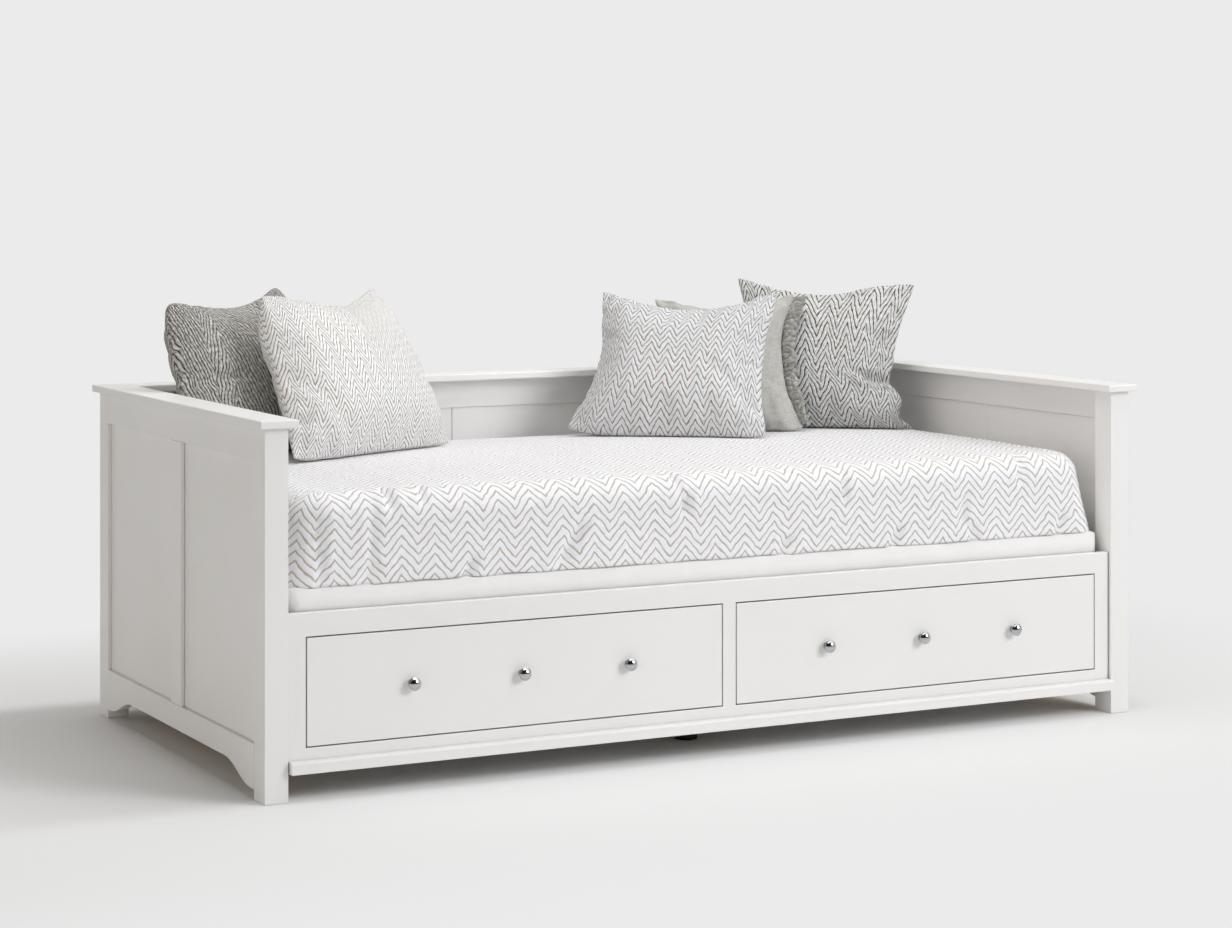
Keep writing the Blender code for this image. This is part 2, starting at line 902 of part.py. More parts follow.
def make_cushions(bedspread):
    bpy.context.view_layer.update()
    cover = BVHTree.FromObject(bedspread, bpy.context.evaluated_depsgraph_get())
    grey = (grey_cushion_width, grey_cushion_height, grey_cushion_fullness, "grey_weave", cover)
    pale = (pale_cushion_width, pale_cushion_height, pale_cushion_fullness, "pale_weave", cover)
    linen = (linen_cushion_width, linen_cushion_height, linen_cushion_fullness, "grey_linen", cover)
    make_cushion("cushion_grey_left", *grey)
    make_cushion("cushion_pale_left", *pale)
    make_cushion("cushion_pale_right", *pale)
    make_cushion("cushion_linen", *linen)
    make_cushion("cushion_grey_right", *grey)


clear_scene()
daybed = make_collection("storage_daybed")
cutters = make_collection("joining_shapes")
pullout_empty = joint_empty("pullout_slide", (0, front_face, front_top))
drawer_middle = (opening_inner + opening_outer) / 2
drawer_height = (opening_low + opening_high) / 2
drawer_empties = {}
for side, sign in (("left", -1), ("right", 1)):
    middle = (sign * drawer_middle, front_face, drawer_height)
    drawer_empties[side] = joint_empty(f"drawer_{side}_slide", middle, pullout_empty)
make_posts()
make_ends()
make_back()
make_fixed_base()
make_guides()
make_pullout(pullout_empty)
make_foot(pullout_empty)
make_drawer("left", -1, drawer_empties["left"])
make_drawer("right", 1, drawer_empties["right"])
make_mattress()
make_cushions(make_bedspread())
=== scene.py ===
"""Looks of the storage daybed: finishes for the painted frame, turned knobs and foot, the
mattress, its bedspread and the five cushions.

Metres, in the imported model's own frame: +Z up, the bed's front faces -Y.
"""

import math

import bmesh
import bpy
from mathutils import Euler, Matrix, Vector, noise
from mathutils.bvhtree import BVHTree


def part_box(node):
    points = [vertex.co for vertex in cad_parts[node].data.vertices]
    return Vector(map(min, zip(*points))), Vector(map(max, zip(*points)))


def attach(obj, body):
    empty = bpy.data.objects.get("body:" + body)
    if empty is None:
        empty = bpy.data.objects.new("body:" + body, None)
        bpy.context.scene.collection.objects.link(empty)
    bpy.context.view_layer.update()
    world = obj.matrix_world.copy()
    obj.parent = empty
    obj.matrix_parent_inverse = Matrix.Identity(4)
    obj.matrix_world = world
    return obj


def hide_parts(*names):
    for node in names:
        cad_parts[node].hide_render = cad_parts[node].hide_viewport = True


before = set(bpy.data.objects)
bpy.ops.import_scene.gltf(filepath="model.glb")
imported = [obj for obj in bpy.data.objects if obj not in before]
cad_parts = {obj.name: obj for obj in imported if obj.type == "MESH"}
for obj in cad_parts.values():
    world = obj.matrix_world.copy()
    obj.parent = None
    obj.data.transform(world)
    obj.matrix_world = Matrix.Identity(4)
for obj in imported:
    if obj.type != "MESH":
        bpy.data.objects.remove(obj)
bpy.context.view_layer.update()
scene = bpy.context.scene

# The block that the bedspread covers: half its size and its middle, its corners' and edges'
# radius, its top and crown, and the height, flare and corner radius of the hem
BLOCK_HALF_X = 0.9535
BLOCK_HALF_Y = 0.4905
BLOCK_MIDDLE_Y = -0.004
BLOCK_CORNER = 0.080
BLOCK_ROLL = 0.055
BLOCK_TOP = 0.5878
BLOCK_CROWN = 0.0095
HEM_HEIGHT = 0.4085
HEM_FLARE = 0.018
HEM_CORNER = 0.050

# The mattress's border: half its length, and how far its front stands beyond the CAD block
MATTRESS_HALF_X = 0.976
MATTRESS_EASE = 0.005

# Thickness of the bedspread and of the gathered strip
CLOTH_THICKNESS = 0.0016

# Cushions: steps across a panel, frames and pressure of the filling and how far it may move the
# cloth, how deep a cushion would sink in, and how far above the bedspread that part is held flat
CUSHION_STEPS = 46
FILL_FRAMES = 24
FILL_PRESSURE = 4.0
FILL_REACH = 0.025
CUSHION_SINK = 0.008
CUSHION_CLEARANCE = 0.0008

# Printed chevrons of the bedspread: peak to peak, rise, row to row, and where they start
SPREAD_PERIOD = 0.0715
SPREAD_RISE = 0.040
SPREAD_ROWS = 0.0198
SPREAD_SHIFT = 0.0574
SPREAD_LIFT = 0.009

# Studio: background and floor paper, the part of the floor that keeps its full shade (its middle
# and half its size), and the distances from it between which the floor fades, half each time
BACKGROUND = "#EBEBEB"
FLOOR_PAPER = "#F0F0F0"
FLOOR_SHADE_MIDDLE = (-0.35, 0.08, 0)
FLOOR_SHADE_HALF = (1.40, 0.52, 1)
FLOOR_FADES = ((0, 0.14), (0.3, 1.2))

# Light of the room: the way towards the camera, the way towards a low glow on the left, the
# strengths of the glow and of the light from behind the bed, and their colour
TOWARDS_CAMERA = (-0.4625, -0.8866, 0)
TOWARDS_GLOW = (-0.9061, -0.3995, 0.1392)
GLOW_STRENGTH = 1.63
BEHIND_STRENGTH = 0.626
ROOM_COLOUR = "#FFFAF3"

# Soft lamps: power in watts, width, place from the middle of the bed, and colour
STUDIO_LAMPS = {
    "softbox_front_right": (709, 6.0, Vector((0.5313, -0.7343, 0.4226)) * 12, "#FCFDFF"),
    "softbox_high_right": (247, 9.0, Vector((0.5699, -0.2973, 0.7660)) * 12, "#FFFFFF"),
    "softbox_overhead": (55, 3.0, Vector((-0.2, -0.2, 3.0)), "#FFFEFD"),
}

# The photograph's camera: place, turn to the right in degrees, lens in millimetres, and shift
CAMERA_PLACE = (-2.9584, -5.6752, 1.2137)
CAMERA_TURN = 27.55
CAMERA_LENS = 82.74
CAMERA_SHIFT = -0.2340

# Middle of each cushion's lower seam (x, y), its turn about the vertical and its lean, in degrees
CUSHION_PLACES = {
    "cushion_grey_left": (-0.7239, 0.2650, 27, 20),
    "cushion_pale_left": (-0.5315, 0.1352, 27, 24),
    "cushion_pale_right": (0.2400, 0.1822, -43, 34),
    "cushion_linen": (0.4696, 0.2449, -28, 27),
    "cushion_grey_right": (0.7239, 0.2498, -33, 23),
}

# Seam of each cushion in its own plane, in millimetres across from the middle and up from the
# lower seam: lower edge and upper edge from left to right, left edge and right edge from below
CUSHION_SEAMS = {
    "cushion_grey_left": (
        [(-228, 6), (-120, -3), (0, -4), (120, -3), (222, 4)],
        [(-203, 371), (-120, 360), (-10, 352), (85, 366), (169, 402)],
        [(-228, 6), (-232, 90), (-229, 190), (-223, 290), (-203, 371)],
        [(222, 4), (214, 90), (204, 190), (192, 300), (169, 402)],
    ),
    "cushion_pale_left": (
        [(-262, 14), (-130, -2), (0, -3), (135, -2), (272, 8)],
        [(-194, 395), (-100, 382), (0, 366), (80, 362), (188, 402)],
        [(-262, 14), (-240, 110), (-232, 205), (-226, 300), (-194, 395)],
        [(272, 8), (256, 100), (244, 195), (220, 300), (188, 402)],
    ),
    "cushion_pale_right": (
        [(-261, 16), (-130, -3), (0, -4), (120, -3), (234, 8)],
        [(-230, 407), (-120, 371), (0, 356), (110, 370), (217, 410)],
        [(-261, 16), (-222, 120), (-208, 215), (-214, 300), (-230, 407)],
        [(234, 8), (210, 120), (202, 215), (202, 300), (217, 410)],
    ),
    "cushion_linen": (
        [(-192, 8), (-95, -3), (0, -4), (90, -3), (156, 8)],
        [(-213, 358), (-110, 334), (-20, 326), (70, 342), (143, 374)],
        [(-192, 8), (-176, 95), (-172, 180), (-182, 270), (-213, 358)],
        [(156, 8), (120, 95), (108, 180), (110, 270), (143, 374)],
    ),
    "cushion_grey_right": (
        [(-226, 8), (-110, -3), (0, -4), (105, -3), (212, 4)],
        [(-238, 403), (-130, 369), (-10, 357), (95, 374), (216, 389)],
        [(-226, 8), (-206, 110), (-202, 205), (-210, 300), (-238, 403)],
        [(212, 4), (174, 32), (177, 80), (150, 121), (160, 180), (175, 265), (216, 389)],
    ),
}

# Creases pressed into the front of each cushion, in its own plane, in millimetres: from one
# place to another, depth, and half width
CUSHION_CREASES = {
    "cushion_grey_left": [(-215, 168, -95, 176, 9, 10), (-60, 20, 10, 60, 4, 12)],
    "cushion_pale_left": [
        (-235, 199, -178, 149, 8, 14), (-205, 92, -169, 30, 7, 12), (-178, 149, -120, 60, 5, 16),
        (60, 352, 175, 372, 6, 9), (90, 14, 60, 60, 4, 9),
    ],
    "cushion_pale_right": [
        (80, 169, 226, 55, 7, 13), (146, 195, 182, 112, 5, 9), (-150, 392, -117, 299, 4, 10),
        (-41, 20, -34, 74, 6, 9), (-150, 24, -120, 90, 5, 11), (120, 16, 100, 70, 4, 10),
    ],
    "cushion_linen": [
        (130, 95, 60, 120, 6, 9), (-205, 352, -140, 326, 7, 7), (80, 20, 60, 80, 4, 10),
    ],
    "cushion_grey_right": [
        (168, 123, 85, 116, 26, 10), (89, 116, 45, 134, 9, 9), (185, 112, 130, 104, -8, 7),
        (104, 108, 60, 60, 5, 12), (205, 22, 160, 40, 8, 8), (196, 48, 168, 44, 6, 6),
        (-120, 20, -90, 80, 4, 10),
    ],
}


def linear(hex_colour):
    """An sRGB hex colour as linear light."""
    parts = [int(hex_colour[place : place + 2], 16) / 255 for place in (1, 3, 5)]
    return tuple(c / 12.92 if c <= 0.04045 else ((c + 0.055) / 1.055) ** 2.4 for c in parts) + (1,)


def add(tree, kind, inputs=None, **settings):
    """Adds a node with its settings. An input is a value, or the socket that it is linked to."""
    node = tree.nodes.new("ShaderNode" + kind)
    for name, value in settings.items():
        setattr(node, name, value)
    for name, value in (inputs or {}).items():
        socket = node.inputs[name]
        if isinstance(value, bpy.types.NodeSocket):
            tree.links.new(value, socket)
        else:
            socket.default_value = value
    return node


def start_material(name, **shader):
    """An empty material with a Principled shader, whose constants go on its own sockets."""
    material = bpy.data.materials.new(name)
    material.use_nodes = True
    tree = material.node_tree
    tree.nodes.clear()
    inputs = {key.replace("_", " "): value for key, value in shader.items()}
    principled = add(tree, "BsdfPrincipled", inputs)
    add(tree, "OutputMaterial", {"Surface": principled.outputs[0]})
    return material, tree, principled


def blend_colours(tree, share, first, second):
    """Mixes two colours, given as hex or as sockets, by a share."""
    colours = [linear(c) if isinstance(c, str) else c for c in (first, second)]
    mix = add(tree, "Mix", data_type="RGBA")
    for place, value in ((0, share), (6, colours[0]), (7, colours[1])):
        if isinstance(value, bpy.types.NodeSocket):
            tree.links.new(value, mix.inputs[place])
        else:
            mix.inputs[place].default_value = value
    return mix.outputs[2]


def maths(tree, operation, first, second=0.0, third=0.0):
    """One sum on values or sockets. What isn't given is 0."""
    return add(tree, "Math", {0: first, 1: second, 2: third}, operation=operation).outputs[0]


def noise_on(tree, place, scale, detail=2.0, roughness=0.5):
    """Noise on the given coordinates, in features per metre."""
    inputs = {"Vector": place, "Scale": scale, "Detail": detail, "Roughness": roughness}
    return add(tree, "TexNoise", inputs).outputs["Fac"]


def object_noise(tree, scale, detail=2.0, roughness=0.5, stretch=(1, 1, 1)):
    """Noise on Object coordinates, stretched along an axis if asked."""
    place = add(tree, "TexCoord").outputs["Object"]
    scaled = add(tree, "Mapping", {"Vector": place, "Scale": stretch}).outputs[0]
    return noise_on(tree, scaled, scale, detail, roughness)


def spread(tree, value, low, high, to_low, to_high):
    """Takes a value from one range to another, held at the ends."""
    node = add(tree, "MapRange", {0: value, 1: low, 2: high, 3: to_low, 4: to_high})
    return node.outputs[0]


def link_finish(tree, shader, colour, roughness):
    """Links a finish's colour and roughness to its shader."""
    tree.links.new(colour, shader.inputs["Base Color"])
    tree.links.new(roughness, shader.inputs["Roughness"])


def raise_surface(tree, shader, height, distance, strength=1.0, normal=None):
    """Bump of a given height in metres."""
    inputs = {"Height": height, "Distance": distance, "Strength": strength}
    if normal is not None:
        inputs["Normal"] = normal
    bump = add(tree, "Bump", inputs).outputs[0]
    tree.links.new(bump, shader.inputs["Normal"])
    return bump


def satin_enamel():
    """Water-based enamel sprayed on pine and fibreboard, rubbed down between coats: a soft sheen
    over a faint orange peel of about 2 mm, clouded by a hair, with painted shade in its joints and
    gaps."""
    material, tree, shader = start_material("satin_enamel_sprayed", IOR=1.5)
    cloudy = object_noise(tree, 2.2, 3.0)
    colour = blend_colours(tree, spread(tree, cloudy, 0.35, 0.65, 0, 1), "#F0EFEE", "#EEEDEB")
    # Painted shade: the colour darkens towards #8F8A84 where surfaces within 6 mm block the light,
    # in joints, gaps and recesses
    open_share = add(tree, "AmbientOcclusion", {"Distance": 0.006}, samples=6).outputs["AO"]
    painted_joint_shade = spread(tree, open_share, 0.15, 0.7, 0.6, 0)
    colour = blend_colours(tree, painted_joint_shade, colour, "#8F8A84")
    patchy = object_noise(tree, 9.0, 4.0)
    link_finish(tree, shader, colour, spread(tree, patchy, 0.3, 0.7, 0.36, 0.46))
    peel = object_noise(tree, 480.0, 1.5)
    raise_surface(tree, shader, peel, 0.00006, 0.6)
    return material


def foil_board():
    """Chipboard under a matt white melamine foil, pressed with a fine pore: flatter and cooler
    than the enamel."""
    material, tree, shader = start_material("melamine_foil_board", IOR=1.48)
    pores = object_noise(tree, 700.0, 2.0, 0.6, (1, 0.35, 1))
    colour = blend_colours(tree, spread(tree, pores, 0.45, 0.75, 0, 1), "#ECEBE8", "#E3E2DE")
    link_finish(tree, shader, colour, spread(tree, pores, 0.3, 0.7, 0.46, 0.58))
    raise_surface(tree, shader, pores, 0.00005, 0.5)
    return material


def planed_pine(name, along):
    """Planed, unvarnished pine, flat-sawn: wavy year rings about 24 mm apart on its face run along
    the piece, with darker late wood, and the plane leaves it dry and matt."""
    material, tree, shader = start_material(name, IOR=1.45)
    stretch = tuple(0.05 if axis == along else 1.0 for axis in "XYZ")
    place = add(tree, "TexCoord").outputs["Object"]
    scaled = add(tree, "Mapping", {"Vector": place, "Scale": stretch}).outputs[0]
    rings = add(
        tree, "TexWave",
        {"Vector": scaled, "Scale": 26.0, "Distortion": 5.0, "Detail": 2.5, "Detail Scale": 1.6},
        wave_type="BANDS", bands_direction="DIAGONAL", wave_profile="SAW",
    ).outputs["Fac"]
    late_wood = spread(tree, rings, 0.55, 1.0, 0, 1)
    board = blend_colours(tree, late_wood, "#E3C693", "#C99D62")
    fibres = object_noise(tree, 900.0, 3.0, 0.6, tuple(0.02 if a == along else 1.0 for a in "XYZ"))
    darker = spread(tree, fibres, 0.35, 0.8, 0, 0.35)
    link_finish(
        tree, shader, blend_colours(tree, darker, board, "#B98B55"),
        spread(tree, late_wood, 0, 1, 0.66, 0.52),
    )
    raise_surface(tree, shader, fibres, 0.00012, 0.7)
    return material


def moulded_plastic():
    """Black polypropylene, spark-eroded mould: a dull, even grain of about 1 mm."""
    material, tree, shader = start_material("moulded_polypropylene", IOR=1.49)
    grain = object_noise(tree, 950.0, 2.0)
    colour = blend_colours(tree, spread(tree, grain, 0.3, 0.7, 0, 1), "#040404", "#080808")
    link_finish(tree, shader, colour, spread(tree, grain, 0.3, 0.7, 0.42, 0.56))
    raise_surface(tree, shader, grain, 0.00008, 0.6)
    return material


def polished_chrome():
    """Bright chrome plating on turned brass: a clear mirror with a trace of polishing haze."""
    material, tree, shader = start_material("polished_chrome_plate", Metallic=1.0)
    haze = object_noise(tree, 260.0, 4.0, 0.7)
    colour = blend_colours(tree, spread(tree, haze, 0.3, 0.7, 0, 1), "#C4C5C7", "#B6B7BA")
    link_finish(tree, shader, colour, spread(tree, haze, 0.3, 0.75, 0.04, 0.11))
    return material


def zigzag_rows(tree, period, rise, rows, wobble, uneven=0.5, fall=None):
    """How far each place of the cloth lies from the middle of a zigzag line, as a share of the
    way from row to row, and the cloth's own coordinates in metres. Wobble is how far noise draws
    the lines off. A line rises over the uneven share of its period, and a fall other than the
    rise has to differ from it by whole rows."""
    cloth = add(tree, "UVMap", uv_map="cloth").outputs[0]
    drift = add(tree, "TexNoise", {"Vector": cloth, "Scale": 40.0, "Detail": 2.0}).outputs["Color"]
    centred = add(tree, "VectorMath", {0: drift, 1: (0.5, 0.5, 0.5)}, operation="SUBTRACT")
    moved = add(
        tree, "VectorMath", {0: centred.outputs[0], 1: (2 * wobble,) * 3, 2: cloth},
        operation="MULTIPLY_ADD",
    )
    parts = add(tree, "SeparateXYZ", {0: moved.outputs[0]}).outputs
    share = maths(tree, "FRACT", maths(tree, "DIVIDE", parts[0], period))
    up = maths(tree, "MULTIPLY", maths(tree, "MINIMUM", share, uneven), rise / uneven)
    past = maths(tree, "MAXIMUM", maths(tree, "SUBTRACT", share, uneven))
    down = maths(tree, "MULTIPLY", past, (rise if fall is None else fall) / (1 - uneven))
    height = maths(tree, "ADD", maths(tree, "SUBTRACT", parts[1], up), down)
    phase = maths(tree, "FRACT", maths(tree, "DIVIDE", height, rows))
    apart = maths(tree, "MULTIPLY", maths(tree, "ABSOLUTE", maths(tree, "SUBTRACT", phase, 0.5)), 2)
    return apart, cloth


def thread_weave(tree, cloth, pitch):
    """Height of a plain weave with the given thread spacing in metres."""
    scaled = add(tree, "VectorMath", {0: cloth, "Scale": math.pi / pitch}, operation="SCALE")
    parts = add(tree, "SeparateXYZ", {0: scaled.outputs[0]}).outputs
    warp = maths(tree, "ABSOLUTE", maths(tree, "SINE", parts[0]))
    weft = maths(tree, "ABSOLUTE", maths(tree, "SINE", parts[1]))
    return maths(tree, "MULTIPLY", warp, weft)


def printed_cotton():
    """Washed cotton percale, screen-printed with thin sand-coloured chevrons in rows: the print
    soaks in, so its edges are soft, and the cool white cloth between puffs up a little."""
    material, tree, shader = start_material(
        "printed_cotton_percale", IOR=1.45, Sheen_Weight=0.15, Sheen_Roughness=0.5
    )
    apart, cloth = zigzag_rows(tree, SPREAD_PERIOD, SPREAD_RISE, SPREAD_ROWS, 0.0050)
    line = spread(tree, apart, 0.15, 0.33, 1, 0)
    patchy = noise_on(tree, cloth, 60.0, 3.0)
    inked = maths(tree, "MULTIPLY", line, spread(tree, patchy, 0.3, 0.7, 0.8, 1.0))
    ground = blend_colours(tree, spread(tree, patchy, 0.35, 0.7, 0, 1), "#F5F6FA", "#EDF1F7")
    link_finish(
        tree, shader, blend_colours(tree, inked, ground, "#BEAE9B"),
        spread(tree, patchy, 0.3, 0.7, 0.82, 0.92),
    )
    rumple = noise_on(tree, cloth, 38.0, 4.0)
    creased = raise_surface(tree, shader, rumple, 0.0030, 0.6)
    puffed = maths(tree, "POWER", spread(tree, apart, 0.05, 0.8, 0, 1), 0.6)
    creased = raise_surface(tree, shader, puffed, 0.0012, 0.7, creased)
    raise_surface(tree, shader, thread_weave(tree, cloth, 0.0009), 0.0001, 0.5, creased)
    return material


def chevron_jacquard(
    name, ground, ground_shade, line_colour, period, rise, rows, line_width, relief,
    uneven=0.5, fall=None, wobble=0.0050, knobs=0.35, edge="#FAFAFA",
):
    """Cotton jacquard: thick pale floats stand up as ribs between thin, darker bound lines, so
    raking light picks out every rib. The line's width is a share of the way from row to row,
    relief is the ribs' height, knobs is how much the slubs stand out, and edge is the colour of
    a painted highlight on the floats beside each line."""
    material, tree, shader = start_material(name, IOR=1.45, Sheen_Weight=0.2, Sheen_Roughness=0.5)
    apart, cloth = zigzag_rows(tree, period, rise, rows, wobble, uneven, fall)
    line = spread(tree, apart, line_width * 0.7, line_width * 1.2, 1, 0)
    slub = noise_on(tree, cloth, 140.0, 3.0)
    worn = maths(tree, "MULTIPLY", line, spread(tree, slub, 0.35, 0.6, 0.6, 1.0))
    pale = blend_colours(tree, spread(tree, slub, 0.4, 0.6, 0, 1), ground, ground_shade)
    # Painted highlight: the floats just beside each line, on both sides, are lightened towards the
    # edge colour
    rim = spread(tree, apart, line_width * 1.3, line_width * 1.3 + 0.25, 0.8, 0)
    pale = blend_colours(tree, rim, pale, edge)
    link_finish(
        tree, shader, blend_colours(tree, worn, pale, line_colour),
        spread(tree, slub, 0.3, 0.7, 0.84, 0.95),
    )
    rib = maths(tree, "POWER", spread(tree, apart, 0, 0.8, 0, 1), 0.6)
    threads = maths(tree, "MULTIPLY", thread_weave(tree, cloth, 0.0016), 0.18)
    lumpy = maths(tree, "MULTIPLY", slub, knobs)
    height = maths(tree, "ADD", maths(tree, "ADD", rib, threads), lumpy)
    raise_surface(tree, shader, height, relief, 1.0)
    return material


def plain_linen():
    """Stone-washed linen in plain weave: uneven threads drawn 2 mm apart, coarser than the real
    1 mm so that they show, with thicker slubs both ways."""
    material, tree, shader = start_material(
        "stone_washed_linen", IOR=1.45, Sheen_Weight=0.2, Sheen_Roughness=0.5
    )
    cloth = add(tree, "UVMap", uv_map="cloth").outputs[0]
    across = add(tree, "Mapping", {"Vector": cloth, "Scale": (30, 520, 1)}).outputs[0]
    along = add(tree, "Mapping", {"Vector": cloth, "Scale": (520, 30, 1)}).outputs[0]
    weft = noise_on(tree, across, 1.0)
    warp = noise_on(tree, along, 1.0)
    slubs = maths(tree, "MULTIPLY", maths(tree, "ADD", weft, warp), 0.5)
    shade = spread(tree, slubs, 0.38, 0.62, 0, 1)
    link_finish(
        tree, shader, blend_colours(tree, shade, "#AEADA7", "#CDCCC7"),
        spread(tree, slubs, 0.3, 0.7, 0.95, 0.85),
    )
    threads = maths(tree, "ADD", thread_weave(tree, cloth, 0.002), slubs)
    raise_surface(tree, shader, threads, 0.0004, 0.8)
    return material


def mattress_ticking():
    """Heavy white cotton ticking in a fine twill drawn 3 mm wide, slightly warmer than the
    bedspread."""
    material, tree, shader = start_material("cotton_ticking_twill", IOR=1.45, Sheen_Weight=0.1)
    place = add(tree, "TexCoord").outputs["Object"]
    turned = add(tree, "Mapping", {"Vector": place, "Rotation": (0, math.radians(40), 0)})
    twill = add(
        tree, "TexWave", {"Vector": turned.outputs[0], "Scale": 105.0, "Distortion": 0.4},
        wave_type="BANDS", bands_direction="X",
    ).outputs["Fac"]
    cloudy = object_noise(tree, 12.0, 3.0)
    colour = blend_colours(tree, spread(tree, cloudy, 0.3, 0.7, 0, 1), "#F4F3F2", "#F0EFEE")
    link_finish(tree, shader, colour, spread(tree, cloudy, 0.3, 0.7, 0.8, 0.9))
    raise_surface(tree, shader, twill, 0.0002, 0.5)
    return material


def as_object(name, shape, material):
    """Makes the shape a smooth object with its finish, in the bed's frame."""
    mesh = bpy.data.meshes.new(name)
    shape.to_mesh(mesh)
    shape.free()
    mesh.shade_smooth()
    mesh.materials.append(material)
    made = bpy.data.objects.new(name, mesh)
    scene.collection.objects.link(made)
    return made


def finished(name, shape, material, body, replaced):
    """Makes the shape a piece: its finish and body, and hides the CAD node that it replaces."""
    piece = as_object(name, shape, material)
    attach(piece, body)
    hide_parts(*replaced)
    return piece


def give_thickness(piece, offset):
    """Gives a cloth its thickness, outwards (1) or to both sides (0)."""
    thick = piece.modifiers.new("cloth_thickness", "SOLIDIFY")
    thick.thickness = CLOTH_THICKNESS
    thick.offset = offset


def turned_shape(profile, steps, axis_turn, place):
    """Spins a profile of (radius, height) points about Z, then turns it and moves it."""
    shape = bmesh.new()
    points = [shape.verts.new((radius, 0, height)) for radius, height in profile]
    for first, second in zip(points, points[1:]):
        shape.edges.new((first, second))
    bmesh.ops.spin(
        shape, geom=shape.verts[:] + shape.edges[:], cent=(0, 0, 0), axis=(0, 0, 1),
        angle=2 * math.pi, steps=steps, use_merge=True,
    )
    bmesh.ops.remove_doubles(shape, verts=shape.verts, dist=0.00002)
    bmesh.ops.recalc_face_normals(shape, faces=shape.faces)
    bmesh.ops.transform(shape, matrix=Matrix.Translation(place) @ axis_turn, verts=shape.verts)
    return shape


def arc(centre, radius_across, radius_up, start, end, steps):
    """Points of a rounded part of a profile, angles in degrees from the radius outwards."""
    angles = [math.radians(start + (end - start) * step / steps) for step in range(steps + 1)]
    return [
        (centre[0] + radius_across * math.cos(angle), centre[1] + radius_up * math.sin(angle))
        for angle in angles
    ]


def make_knobs(chrome):
    """Mushroom knobs on the drawer fronts: a domed head with a rolled rim, a waisted neck and a
    thin rose against the paint. The profile goes from the head's middle back to the drawer."""
    profile = [(0, 0.0220)]
    profile += arc((0, 0.0135), 0.0125, 0.0085, 84, 12, 12)
    profile += arc((0.0118, 0.0138), 0.0017, 0.0022, 30, -90, 8)
    profile += [(0.0085, 0.0108), (0.0060, 0.0090), (0.0050, 0.0068), (0.0050, 0.0048)]
    profile += [(0.0056, 0.0034), (0.0070, 0.0026)]
    profile += arc((0.0080, 0.0016), 0.0008, 0.0008, 70, 0, 3) + [(0.0088, 0), (0, 0)]
    outwards = Matrix.Rotation(math.pi / 2, 4, "X")
    for side in ("left", "right"):
        for letter in "abc":
            node = f"knob_{side}_{letter}"
            low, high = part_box(node)
            middle = (low + high) / 2
            shape = turned_shape(profile, 48, outwards, (middle.x, high.y, middle.z))
            finished("turned_" + node, shape, chrome, "drawer_" + side, [node])


def make_foot(plastic):
    """Centre foot: a screwed stem in a round glide with a groove and a soft lower edge."""
    low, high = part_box("pullout_foot")
    middle = (low + high) / 2
    radius = (high.x - low.x) / 2
    groove = radius - 0.0009
    profile = [(0, high.z), (0.0150, high.z), (0.0160, high.z - 0.001)]
    profile += [(0.0160, 0.0365), (0.0172, 0.0345)]
    profile += arc((radius - 0.004, 0.0275), 0.004, 0.004, 80, 0, 5)
    profile += [(radius, 0.0185), (groove, 0.0175), (groove, 0.0165), (radius, 0.0155)]
    profile += arc((radius - 0.004, 0.004), 0.004, 0.004, 0, -90, 6) + [(0, 0)]
    shape = turned_shape(profile, 64, Matrix.Identity(4), (middle.x, middle.y, 0))
    finished("turned_foot", shape, plastic, "pullout", ["pullout_foot"])


def steps_along(spacing):
    """Steps of the given spacing along the straight part of the block's long and short sides."""
    return [round(2 * (half - BLOCK_CORNER) / spacing) for half in (BLOCK_HALF_X, BLOCK_HALF_Y)]


def rounded_outline(half_x, half_y, corner, spacing, corner_steps):
    """Points round a rectangle with round corners, counted alike for every ring of one block."""
    centre_x, centre_y = half_x - corner, half_y - corner
    runs = ((-2 * centre_x, 0), (0, -2 * centre_y), (2 * centre_x, 0), (0, 2 * centre_y))
    points = []
    for quarter, (run, steps) in enumerate(zip(runs, 2 * steps_along(spacing))):
        sign_x = 1 if quarter in (0, 3) else -1
        sign_y = 1 if quarter in (0, 1) else -1
        for step in range(corner_steps + 1):
            angle = math.pi / 2 * (quarter + step / corner_steps)
            across = sign_x * centre_x + corner * math.cos(angle)
            points.append(Vector((across, sign_y * centre_y + corner * math.sin(angle), 0)))
        last = points[-1].copy()
        for step in range(1, steps):
            points.append(last + Vector((*run, 0)) * step / steps)
    return points


def skin(shape, rings):
    """Joins rings of equally many points by four-sided faces, and gives their vertices."""
    rows = [[shape.verts.new(point) for point in ring] for ring in rings]
    for lower, upper in zip(rows, rows[1:]):
        for number in range(len(lower)):
            after = (number + 1) % len(lower)
            shape.faces.new((lower[number], lower[after], upper[after], upper[number]))
    return rows


def close_across(shape, row, corner_steps, spacing):
    """Joins the two long sides of the innermost ring."""
    steps_x, steps_y = steps_along(spacing)
    shift = corner_steps + steps_x + steps_y // 2
    count = len(row)
    order = [row[(number + shift) % count] for number in range(count)]
    pairs = [(order[number], order[count - 1 - number]) for number in range(count // 2)]
    for (a, b), (c, d) in zip(pairs, pairs[1:]):
        shape.faces.new(list(dict.fromkeys((a, c, d, b))))


def wave(x, y, z, size, seed):
    """Smooth noise from -1 to 1 with features of the given size in metres."""
    return noise.noise(Vector((x / size + seed, y / size - seed, z / size + 2 * seed)))


